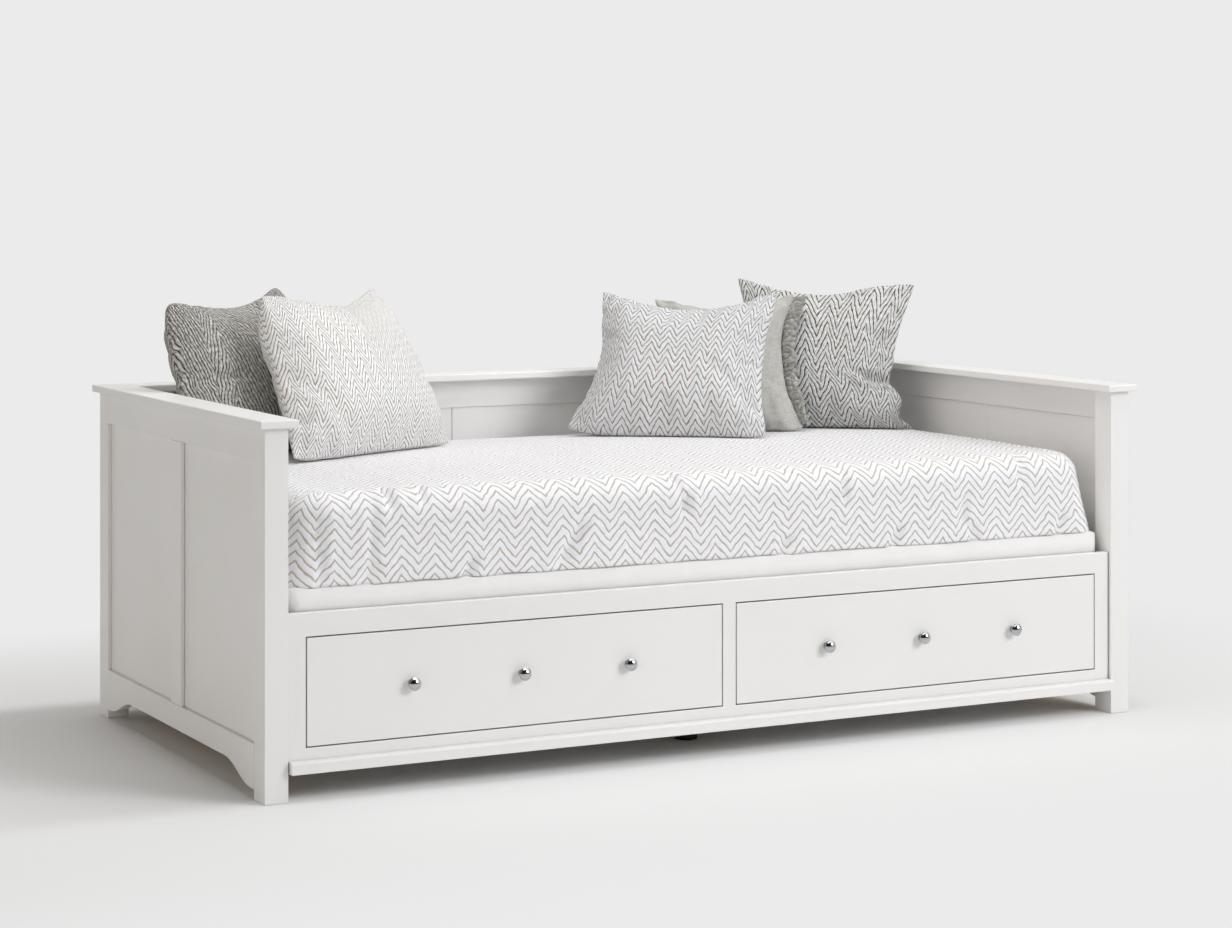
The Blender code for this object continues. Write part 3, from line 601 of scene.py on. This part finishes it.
# Tucks of the bedspread's front: place along the bed, lowest and highest height, half width,
# depth, and how far the top leans along the bed, all in metres
SPREAD_TUCKS = (
    (-0.905, 0.405, 0.560, 0.009, 0.0110, -0.006),
    (-0.822, 0.405, 0.450, 0.016, 0.0070, 0.030),
    (-0.800, 0.430, 0.560, 0.010, 0.0075, 0.004),
    (-0.753, 0.545, 0.600, 0.010, 0.0130, -0.006),
    (-0.688, 0.555, 0.600, 0.009, 0.0095, 0.010),
    (-0.597, 0.405, 0.450, 0.012, 0.0120, 0.020),
    (-0.389, 0.412, 0.505, 0.016, 0.0125, 0.060),
    (-0.093, 0.500, 0.552, 0.012, 0.0145, 0.004),
    (-0.100, 0.555, 0.596, 0.008, 0.0110, -0.012),
    (0.140, 0.405, 0.450, 0.014, 0.0100, 0.020),
    (0.300, 0.505, 0.590, 0.008, 0.0135, 0.006),
    (0.420, 0.405, 0.455, 0.012, 0.0110, 0.025),
    (0.594, 0.420, 0.520, 0.012, 0.0090, 0.030),
    (0.640, 0.405, 0.450, 0.014, 0.0110, -0.015),
    (0.757, 0.520, 0.590, 0.011, 0.0130, 0.018),
    (0.860, 0.405, 0.460, 0.012, 0.0110, 0.020),
)


def tuck_depth(x, z):
    """How far the tucks draw the cloth in at one place of the front."""
    depth = 0
    for middle, low, high, half_width, deep, lean in SPREAD_TUCKS:
        share = (z - low) / (high - low)
        off = (x - middle - lean * share) / half_width
        reach = max(0, 1 - (2 * share - 1) ** 4) if 0 <= share <= 1 else 0
        depth += deep * reach * math.exp(-off * off)
        swell = math.exp(-((abs(off) - 1.9) ** 2) / 0.7)
        depth -= 0.35 * deep * reach * swell
    return depth


def make_bedspread(cotton):
    """One cloth over the mattress, mitred at the corners: it rolls over the edge, hangs to a
    slightly wavy hem and is drawn in by tucks. Each place keeps its length along the cloth in
    the UV map, so the print follows the cloth round the edge."""
    spacing, corner_steps, drop_steps, roll_steps, crown_steps = 0.0091, 8, 20, 8, 24
    levels = []
    side_low, side_high = HEM_HEIGHT, BLOCK_TOP - BLOCK_ROLL
    for step in range(drop_steps):
        height = side_low + (side_high - side_low) * step / drop_steps
        levels.append((0, height, side_high - height + BLOCK_ROLL * math.pi / 2))
    for step in range(roll_steps + 1):
        angle = math.pi / 2 * step / roll_steps
        inset = BLOCK_ROLL * (1 - math.cos(angle))
        height = side_high + BLOCK_ROLL * math.sin(angle)
        levels.append((inset, height, BLOCK_ROLL * (math.pi / 2 - angle)))
    rings, lengths = [], []
    for inset, height, length in levels:
        hang = max(0, (side_high - height) / (side_high - side_low))
        half_x, half_y = BLOCK_HALF_X - inset + HEM_FLARE * hang, BLOCK_HALF_Y - inset
        corner = BLOCK_CORNER - inset + (HEM_CORNER - BLOCK_CORNER) * hang
        ring = rounded_outline(half_x, half_y, corner, spacing, corner_steps)
        rings.append([point + Vector((0, 0, height)) for point in ring])
        lengths.append(length)
    inner_x, inner_y = BLOCK_HALF_X - BLOCK_ROLL, BLOCK_HALF_Y - BLOCK_ROLL
    for step in range(1, crown_steps):
        share = 1 - step / crown_steps
        corner = (BLOCK_CORNER - BLOCK_ROLL) * share
        ring = rounded_outline(
            inner_x - inner_y * (1 - share), inner_y * share, corner, spacing, corner_steps
        )
        rings.append([point + Vector((0, 0, BLOCK_TOP)) for point in ring])
        lengths.append(0)
    shape = bmesh.new()
    rows = skin(shape, rings)
    close_across(shape, rows[-1], corner_steps, spacing)
    length_of = {vert: length for row, length in zip(rows, lengths) for vert in row}
    bmesh.ops.recalc_face_normals(shape, faces=shape.faces)
    cloth = shape.loops.layers.uv.new("cloth")
    centre_x, centre_y = BLOCK_HALF_X - BLOCK_CORNER, BLOCK_HALF_Y - BLOCK_CORNER
    for face in shape.faces:
        middle = face.calc_center_median()
        past_x, past_y = abs(middle.x) - centre_x, abs(middle.y) - centre_y
        end_side = past_x > 0 and past_y < 0
        for loop in face.loops:
            point = loop.vert.co
            length = length_of[loop.vert]
            out_x, out_y = abs(point.x) - centre_x, abs(point.y) - centre_y
            if length == 0 and abs(point.x) < inner_x and abs(point.y) < inner_y:
                loop[cloth].uv = (point.x + SPREAD_SHIFT, point.y - SPREAD_LIFT)
            elif end_side:
                along = inner_x + length if length > 0 else abs(point.x)
                loop[cloth].uv = (
                    math.copysign(along, point.x) + SPREAD_SHIFT, point.y - SPREAD_LIFT
                )
            else:
                bent = BLOCK_CORNER * math.atan2(out_x, out_y)
                along = abs(point.x) if out_x <= 0 else centre_x + bent
                reach = inner_y + length if length > 0 else abs(point.y)
                loop[cloth].uv = (
                    math.copysign(along, point.x) + SPREAD_SHIFT,
                    math.copysign(reach, point.y) - SPREAD_LIFT,
                )
    for vert in shape.verts:
        if length_of[vert] == 0:
            share_x = min(1, abs(vert.co.x) / BLOCK_HALF_X)
            share_y = min(1, abs(vert.co.y) / inner_y)
            vert.co.z += BLOCK_CROWN * (1 - share_x ** 4) * (1 - share_y ** 2)
    normals = {vert: vert.normal.copy() for vert in shape.verts}
    for vert in shape.verts:
        x, y, z = vert.co
        hang = min(1, max(0, (BLOCK_TOP - BLOCK_ROLL - z) / 0.12))
        edge = 1 if length_of[vert] > 0 else 0.35
        push = 0.0030 * hang * (0.6 + wave(x, y, z * 0.3, 0.16, 3.1))
        push += 0.0022 * hang * wave(x, y, z * 0.5, 0.055, 7.7)
        push += 0.0016 * edge * wave(x, y, z, 0.07, 1.3) + 0.0012 * wave(x, y, z, 0.3, 5.9)
        if y < -BLOCK_HALF_Y + BLOCK_ROLL:
            push -= tuck_depth(x, z)
        vert.co += normals[vert] * push
        if z < HEM_HEIGHT + 0.02:
            vert.co.z += 0.0035 * wave(x, y, 0, 0.06, 9.3) * (1 - (z - HEM_HEIGHT) / 0.02)
        vert.co.y += BLOCK_MIDDLE_Y
    piece = finished("bedspread_cotton", shape, cotton, "frame", ["bedspread"])
    give_thickness(piece, 1)
    return piece


def make_mattress(ticking):
    """Sprung mattress: its plain white border stands upright along the frame, and the rest
    narrows under the bedspread. Each level is the inset at the ends and at the sides, and the
    height."""
    low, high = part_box("mattress")
    spacing, corner_steps, corner = 0.03, 8, 0.024
    half_y = (high.y - low.y + MATTRESS_EASE) / 2
    levels = [(0.0015, 0.0015, 0.0), (0.0, 0.0, 0.0015), (0.0, 0.0, 0.044), (0.012, 0.010, 0.050)]
    levels += [(0.030, 0.020, 0.060), (0.038, 0.022, 0.135), (0.045, 0.027, 0.180)]
    levels += [(0.063, 0.045, 0.204), (0.093, 0.075, 0.212)]
    rings = []
    for inset_x, inset_y, height in levels:
        ring = rounded_outline(
            MATTRESS_HALF_X - inset_x, half_y - inset_y, corner, spacing, corner_steps
        )
        rings.append([point + Vector((0, 0, low.z + height)) for point in ring])
    shape = bmesh.new()
    skin(shape, rings)
    bmesh.ops.contextual_create(shape, geom=[edge for edge in shape.edges if edge.is_boundary])
    bmesh.ops.triangulate(shape, faces=[face for face in shape.faces if len(face.verts) > 4])
    bmesh.ops.recalc_face_normals(shape, faces=shape.faces)
    bmesh.ops.translate(shape, vec=(0, (low.y + high.y - MATTRESS_EASE) / 2, 0), verts=shape.verts)
    piece = finished("mattress_ticking", shape, ticking, "frame", ["mattress"])


def along_curve(points, share):
    """A place on the smooth curve through the points, at a share of the way."""
    count = len(points) - 1
    at = min(max(share, 0), 1) * count
    number = min(int(at), count - 1)
    t = at - number
    p1, p2 = Vector(points[number]), Vector(points[number + 1])
    p0 = Vector(points[number - 1]) if number > 0 else 2 * p1 - p2
    p3 = Vector(points[number + 2]) if number + 2 <= count else 2 * p2 - p1
    return 0.5 * (
        2 * p1 + (p2 - p0) * t + (2 * p0 - 5 * p1 + 4 * p2 - p3) * t ** 2
        + (3 * p1 - p0 - 3 * p2 + p3) * t ** 3
    )


def seam_plane(seams, u, v):
    """Place in the cushion's plane, in metres, for shares u and v across the cloth."""
    lower, upper, left, right = seams
    edges = (1 - v) * along_curve(lower, u) + v * along_curve(upper, u)
    edges += (1 - u) * along_curve(left, v) + u * along_curve(right, v)
    corners = (1 - u) * (1 - v) * Vector(lower[0]) + u * (1 - v) * Vector(lower[-1])
    corners += (1 - u) * v * Vector(upper[0]) + u * v * Vector(upper[-1])
    return (edges - corners) / 1000


def settle_height(cover, spot):
    """Height of the bedspread under one place, or None beside the bed."""
    found = cover.ray_cast(Vector((spot.x, spot.y, 0.9)), Vector((0, 0, -1)))[0]
    return None if found is None else found.z


def spaced(share):
    """Spaces the cloth evenly along the bulge: wider in the middle, closer by the seam."""
    bend = 0.6 * math.pi / 2
    return math.sin(bend * share) / math.sin(bend)


def cushion_turn(node):
    """Turn of a leaning cushion. Its columns point outwards, up and forward along the panel."""
    yaw, lean = CUSHION_PLACES[node][2:]
    return Euler((math.pi / 2 - math.radians(lean), 0, math.radians(yaw))).to_matrix()


def make_cushion(node, width, height, fullness, cloth_material, slot, corner_cut, cover):
    """Two panels sewn together and filled: the seam lies as in its own plane, the panels swell
    and wrinkle in a cloth simulation, and the filled cushion then settles on the bedspread."""
    shape = bmesh.new()
    bmesh.ops.create_grid(shape, x_segments=CUSHION_STEPS, y_segments=CUSHION_STEPS, size=1)
    cloth = shape.loops.layers.uv.new("cloth")
    for face in shape.faces:
        for loop in face.loops:
            u, v = loop.vert.co.x, loop.vert.co.y
            loop[cloth].uv = (u * width / 2 + 1, v * height / 2 + 1)
    for vert in shape.verts:
        u, v = vert.co.x, vert.co.y
        swell = ((1 - u * u) * (1 - v * v)) ** 0.5 if abs(u) < 1 and abs(v) < 1 else 0
        swell *= 1 - 0.7 * (u * v) ** 6
        along, up = spaced(u) * (1 - corner_cut * v ** 12), spaced(v) * (1 - corner_cut * u ** 12)
        flat = seam_plane(CUSHION_SEAMS[node], (along + 1) / 2, (up + 1) / 2)
        ripple = wave(flat.x, flat.y, 0, 0.022, width * 50)
        pucker = 0.0035 * ripple * min(1, 3 * swell) * (1 - swell) ** 2
        vert.co = (flat.x, flat.y, fullness / 2 * 0.95 * swell + pucker)
    front = shape.verts[:] + shape.edges[:] + shape.faces[:]
    back = bmesh.ops.duplicate(shape, geom=front)["geom"]
    for vert in [part for part in back if isinstance(part, bmesh.types.BMVert)]:
        vert.co.z = -vert.co.z
    back_faces = [part for part in back if isinstance(part, bmesh.types.BMFace)]
    bmesh.ops.reverse_faces(shape, faces=back_faces)
    seam = [vert for vert in shape.verts if vert.is_boundary]
    bmesh.ops.remove_doubles(shape, verts=seam, dist=0.0001)
    seam_numbers = seam_order(shape)
    piece = as_object(node + "_cover", shape, cloth_material)
    inflate(piece, seam_numbers)
    press_creases(piece, CUSHION_CREASES[node])
    x, y = CUSHION_PLACES[node][:2]
    piece.data.transform(Matrix.Translation((x, y, 0)) @ cushion_turn(node).to_4x4())
    lifts = []
    for vert in piece.data.vertices:
        under = settle_height(cover, vert.co)
        if under is not None:
            lifts.append(under - vert.co.z)
    rise = max(lifts) - CUSHION_SINK
    for vert in piece.data.vertices:
        vert.co.z += rise
        under = settle_height(cover, vert.co)
        if under is not None and vert.co.z < under + CUSHION_CLEARANCE:
            vert.co.z = under + CUSHION_CLEARANCE
    smooth = piece.modifiers.new("smooth_cloth", "SUBSURF")
    smooth.levels = smooth.render_levels = 1
    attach(piece, "frame")
    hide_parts(node)
    return piece, [piece.data.vertices[number].co.copy() for number in seam_numbers]


def press_creases(piece, creases):
    """Presses each crease into the front panel, deepest in its middle."""
    for vert in piece.data.vertices:
        if vert.co.z < 0.004:
            continue
        place = Vector((vert.co.x, vert.co.y)) * 1000
        for x1, y1, x2, y2, deep, half_width in creases:
            start, run = Vector((x1, y1)), Vector((x2 - x1, y2 - y1))
            share = min(max((place - start).dot(run) / run.length_squared, 0), 1)
            nearest = start + run * share
            off = (place - nearest).length / half_width
            fade = math.exp(-off * off) * (1 - 0.6 * abs(2 * share - 1) ** 3)
            lip = math.exp(-((off - 2.0) ** 2) / 0.9)
            vert.co.z -= deep / 1000 * (fade - 0.3 * lip)


def make_gathers(name, cushion, edge, material):
    """A gathered strip sewn along the right-hand seam: it stands out from the seam in small,
    uneven pleats."""
    turn = cushion_turn("cushion_linen")
    outward, upward, forward = turn.col[0], turn.col[1], turn.col[2]
    middle = sum(edge, Vector()) / len(edge)
    lower = max(range(len(edge)), key=lambda number: (edge[number] - middle).dot(outward - upward))
    upper = max(range(len(edge)), key=lambda number: (edge[number] - middle).dot(outward + upward))
    if (upper - lower) % len(edge) > len(edge) / 2:
        edge, lower, upper = edge[::-1], len(edge) - 1 - lower, len(edge) - 1 - upper
    count = (upper - lower) % len(edge)
    side = [edge[(lower + number) % len(edge)] for number in range(2, count - 1)]
    shape = bmesh.new()
    cloth = shape.loops.layers.uv.new("cloth")
    rows = []
    steps, steps_across = len(side) * 7, 6
    for step in range(steps + 1):
        share = step / steps
        at = share * (len(side) - 1)
        first = min(int(at), len(side) - 2)
        base = side[first].lerp(side[first + 1], at - first)
        row = []
        for across in range(steps_across + 1):
            out = across / steps_across
            turns = 25 * share + 1.1 * wave(share, 0.4 * out, 0, 0.09, 3.3)
            pleat = math.sin(2 * math.pi * turns) + 0.7 * wave(share, 0.3 * out, 0, 0.028, 8.1)
            lift = 0.0085 * pleat * min(1, 0.35 + 1.2 * out) + 0.009 * math.sin(math.pi * out)
            fall = 0.55 + 0.45 * min(1, share / 0.25)
            reach = 0.031 * out * fall * (1 + 0.22 * wave(share, 0, 0, 0.045, 5.5))
            row.append(shape.verts.new(base + outward * reach + forward * lift))
        rows.append(row)
    for low, high in zip(rows, rows[1:]):
        for a, b, c, d in zip(low, low[1:], high[1:], high):
            shape.faces.new((a, b, c, d))
    for face in shape.faces:
        for loop in face.loops:
            place = loop.vert.co - middle
            loop[cloth].uv = (place.dot(outward), place.dot(upward))
    bmesh.ops.recalc_face_normals(shape, faces=shape.faces)
    strip = as_object(name, shape, material)
    give_thickness(strip, 0)
    strip.parent = cushion


def seam_order(shape):
    """Numbers of the seam's points, in order round the cushion."""
    shape.verts.ensure_lookup_table()
    shape.verts.index_update()
    folded = set()
    for vert in shape.verts:
        directions = [face.normal.z for face in vert.link_faces]
        if min(directions) < 0 < max(directions):
            folded.add(vert.index)
    edges = {
        number: [
            edge.other_vert(shape.verts[number]).index
            for edge in shape.verts[number].link_edges
            if edge.other_vert(shape.verts[number]).index in folded
            and len({face.normal.z > 0 for face in edge.link_faces}) == 2
        ]
        for number in folded
    }
    start = min(folded)
    order, previous = [start], None
    while True:
        following = [number for number in edges[order[-1]] if number != previous]
        if not following or following[0] == start:
            return order
        previous = order[-1]
        order.append(following[0])


def inflate(piece, seam_numbers):
    """Fills the cushion by a short cloth simulation with a little spare cloth, held at the seam."""
    group = piece.vertex_groups.new(name="seam")
    group.add(seam_numbers, 1.0, "REPLACE")
    rest = [vert.co.copy() for vert in piece.data.vertices]
    sim = piece.modifiers.new("filling", "CLOTH")
    settings = sim.settings
    settings.quality = 6
    settings.mass = 0.25
    settings.tension_stiffness = settings.compression_stiffness = 18
    settings.shear_stiffness = 6
    settings.bending_stiffness = 0.35
    settings.shrink_min = -0.045
    settings.use_pressure = True
    settings.uniform_pressure_force = FILL_PRESSURE
    settings.vertex_group_mass = "seam"
    settings.pin_stiffness = 1.0
    settings.effector_weights.gravity = 0
    sim.collision_settings.use_collision = False
    sim.point_cache.frame_start, sim.point_cache.frame_end = 1, FILL_FRAMES
    for number in range(1, FILL_FRAMES + 1):
        scene.frame_set(number)
    evaluated = piece.evaluated_get(bpy.context.evaluated_depsgraph_get())
    moved = [vert.co.copy() for vert in evaluated.data.vertices]
    scene.frame_set(1)
    piece.modifiers.remove(sim)
    piece.vertex_groups.remove(group)
    for vert, before, after in zip(piece.data.vertices, rest, moved):
        step = after - before
        if step.length > FILL_REACH:
            step *= FILL_REACH / step.length
        vert.co = before + step


def make_cushions(cover_piece):
    """Makes the cushions in their cloths, each settled on the bedspread. Each job is the cushion,
    its cut width and height, its fullness, cloth and slot, and how far its corners are cut in; the
    slot is not used."""
    bpy.context.view_layer.update()
    cover = BVHTree.FromObject(cover_piece, bpy.context.evaluated_depsgraph_get())
    pale = chevron_jacquard(
        "pale_chevron_jacquard", "#E6EEF3", "#DAE5EB", "#9C6846",
        period=0.0370, rise=0.037, rows=0.0205, line_width=0.29, relief=0.0024,
    )
    pale_fine = chevron_jacquard(
        "pale_narrow_chevron_jacquard", "#F7FAFB", "#ECF1F4", "#A07C50",
        period=0.0350, rise=0.038, rows=0.0150, line_width=0.29, relief=0.0018, wobble=0.0040,
    )
    dark = chevron_jacquard(
        "brown_chevron_jacquard", "#E0E5E4", "#C3C8C6", "#4E2404",
        period=0.0520, rise=0.060, rows=0.0235, line_width=0.40, relief=0.0028, edge="#FFFFFF",
    )
    grey = chevron_jacquard(
        "grey_twill_boucle", "#E2E0DA", "#96948E", "#403D37",
        period=0.1795, rise=-0.4200, rows=0.0235, line_width=0.44, relief=0.0034,
        uneven=0.78, fall=-0.1145, wobble=0.0070, knobs=1.3, edge="#E6E4DE",
    )
    linen = plain_linen()
    jobs = (
        ("cushion_grey_left", 0.445, 0.385, 0.125, grey, "grey_weave_cloth", 0.045),
        ("cushion_pale_left", 0.465, 0.390, 0.130, pale_fine, "pale_weave_cloth", 0.008),
        ("cushion_pale_right", 0.465, 0.390, 0.130, pale, "pale_weave_cloth", 0.012),
        ("cushion_linen", 0.370, 0.360, 0.110, linen, "grey_linen_cloth", 0.022),
        ("cushion_grey_right", 0.445, 0.385, 0.125, dark, "grey_weave_cloth", 0.014),
    )
    made = {job[0]: make_cushion(*job, cover) for job in jobs}
    piece, edge = made["cushion_linen"]
    make_gathers("linen_gathered_edge", piece, edge, linen)


def finish_nodes():
    """Gives every carried-over CAD node the finish of its slot."""
    enamel = satin_enamel()
    foil = foil_board()
    pine_across = planed_pine("planed_pine_across", "X")
    pine_deep = planed_pine("planed_pine_front_to_back", "Y")
    boards = ("pullout_side", "pullout_partition", "drawer_left_side", "drawer_right_side",
              "drawer_left_back", "drawer_right_back", "drawer_left_bottom", "drawer_right_bottom")
    for name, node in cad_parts.items():
        if name.startswith(boards):
            material = foil
        elif name == "front_beam":
            material = pine_across
        elif name.startswith(("slat_base", "runner", "pullout_guide")):
            material = pine_deep
        else:
            material = enamel
        for slot in node.material_slots:
            slot.material = material


def place_lamp(name, power, width, offset, colour):
    """A round soft lamp that looks at the middle of the bed from an offset."""
    lamp = bpy.data.lights.new(name, "AREA")
    lamp.shape = "DISK"
    lamp.size = width
    lamp.energy = power
    lamp.color = linear(colour)[:3]
    holder = bpy.data.objects.new(name, lamp)
    holder.location = Vector((0, 0, 0.4)) + offset
    holder.rotation_euler = offset.to_track_quat("Z", "Y").to_euler()
    scene.collection.objects.link(holder)


def make_floor():
    """A pale paper floor that keeps the bed's shadow in one given part; round it the floor glows
    in the background's colour, painted light that lifts the shadow and melts into the background.
    """
    material, tree, shader = start_material(
        "studio_floor_paper", Base_Color=linear(FLOOR_PAPER), Roughness=0.95, Specular_IOR_Level=0.1
    )
    glow = add(tree, "Emission", {"Color": linear(BACKGROUND), "Strength": 1.0})
    beside = add(tree, "TexCoord").outputs["Object"]
    for operation, other in (
        ("SUBTRACT", FLOOR_SHADE_MIDDLE), ("ABSOLUTE", (0, 0, 0)),
        ("SUBTRACT", FLOOR_SHADE_HALF), ("MAXIMUM", (0, 0, 0)),
    ):
        beside = add(tree, "VectorMath", {0: beside, 1: other}, operation=operation).outputs[0]
    away = add(tree, "VectorMath", {0: beside}, operation="LENGTH").outputs["Value"]
    near, far = (
        add(
            tree, "MapRange", {0: away, 1: start, 2: end, 4: 0.5}, interpolation_type="SMOOTHSTEP"
        ).outputs[0]
        for start, end in FLOOR_FADES
    )
    rays = add(tree, "LightPath").outputs
    mirrored = maths(tree, "MAXIMUM", rays["Is Glossy Ray"], rays["Is Transmission Ray"])
    seen = maths(tree, "MAXIMUM", rays["Is Camera Ray"], mirrored)
    # Painted light: outside the given part the floor shows a glow in the background's colour in
    # place of its own light and shade, half of it within 0.14 m and all of it past 1.2 m
    share = maths(tree, "MULTIPLY", maths(tree, "ADD", near, far), seen)
    mixed = add(tree, "MixShader", {0: share, 1: shader.outputs[0], 2: glow.outputs[0]})
    output = next(node for node in tree.nodes if node.type == "OUTPUT_MATERIAL")
    tree.links.new(mixed.outputs[0], output.inputs["Surface"])
    shape = bmesh.new()
    bmesh.ops.create_circle(shape, cap_ends=True, segments=64, radius=60)
    bmesh.ops.triangulate(shape, faces=shape.faces)
    floor = as_object("studio_floor", shape, material)
    floor.location.z = -0.0005


def light_room():
    """Light of a plain room: soft from behind the bed, and a low, slightly warm glow from the
    left. Seen directly it is the pale background, and chrome mirrors that too, dark towards the
    camera."""
    world = bpy.data.worlds.new("studio_world")
    scene.world = world
    world.use_nodes = True
    tree = world.node_tree
    tree.nodes.clear()
    direction = add(tree, "TexCoord").outputs["Generated"]
    ahead, leftwards = (
        add(tree, "VectorMath", {0: direction, 1: way}, operation="DOT_PRODUCT").outputs["Value"]
        for way in (TOWARDS_CAMERA, TOWARDS_GLOW)
    )
    narrow = maths(tree, "POWER", maths(tree, "MAXIMUM", leftwards), 6.0)
    behind = maths(tree, "MAXIMUM", maths(tree, "MULTIPLY", ahead, -1))
    behind = maths(tree, "MULTIPLY", behind, BEHIND_STRENGTH)
    fill = maths(tree, "MULTIPLY_ADD", narrow, GLOW_STRENGTH, behind)
    dome = add(tree, "Background", {"Color": linear(ROOM_COLOUR), "Strength": fill})
    dark_room = spread(tree, ahead, -0.25, 0.3, 1.0, 0.03)
    mirrored = add(tree, "Background", {"Color": linear(BACKGROUND), "Strength": dark_room})
    pale = add(tree, "Background", {"Color": linear(BACKGROUND), "Strength": 1.0})
    rays = add(tree, "LightPath").outputs
    glossy = add(
        tree, "MixShader", {0: rays["Is Glossy Ray"], 1: dome.outputs[0], 2: mirrored.outputs[0]}
    )
    direct = maths(tree, "MAXIMUM", rays["Is Camera Ray"], rays["Is Transmission Ray"])
    mixed = add(tree, "MixShader", {0: direct, 1: glossy.outputs[0], 2: pale.outputs[0]})
    add(tree, "OutputWorld", {"Surface": mixed.outputs[0]})


def place_camera():
    """The photograph's level camera, turned to the right and shifted down."""
    camera = bpy.data.cameras.new("photo_camera")
    camera.sensor_width = 36
    camera.lens = CAMERA_LENS
    camera.shift_y = CAMERA_SHIFT
    camera.clip_start, camera.clip_end = 0.1, 200
    stand = bpy.data.objects.new("photo_camera", camera)
    stand.location = CAMERA_PLACE
    stand.rotation_euler = (math.pi / 2, 0, -math.radians(CAMERA_TURN))
    scene.collection.objects.link(stand)
    scene.camera = stand
    scene.view_settings.view_transform = "Standard"


finish_nodes()
make_floor()
light_room()
for name, lamp in STUDIO_LAMPS.items():
    place_lamp(name, *lamp)
place_camera()
make_knobs(polished_chrome())
make_foot(moulded_plastic())
make_mattress(mattress_ticking())
bedspread = make_bedspread(printed_cotton())
make_cushions(bedspread)
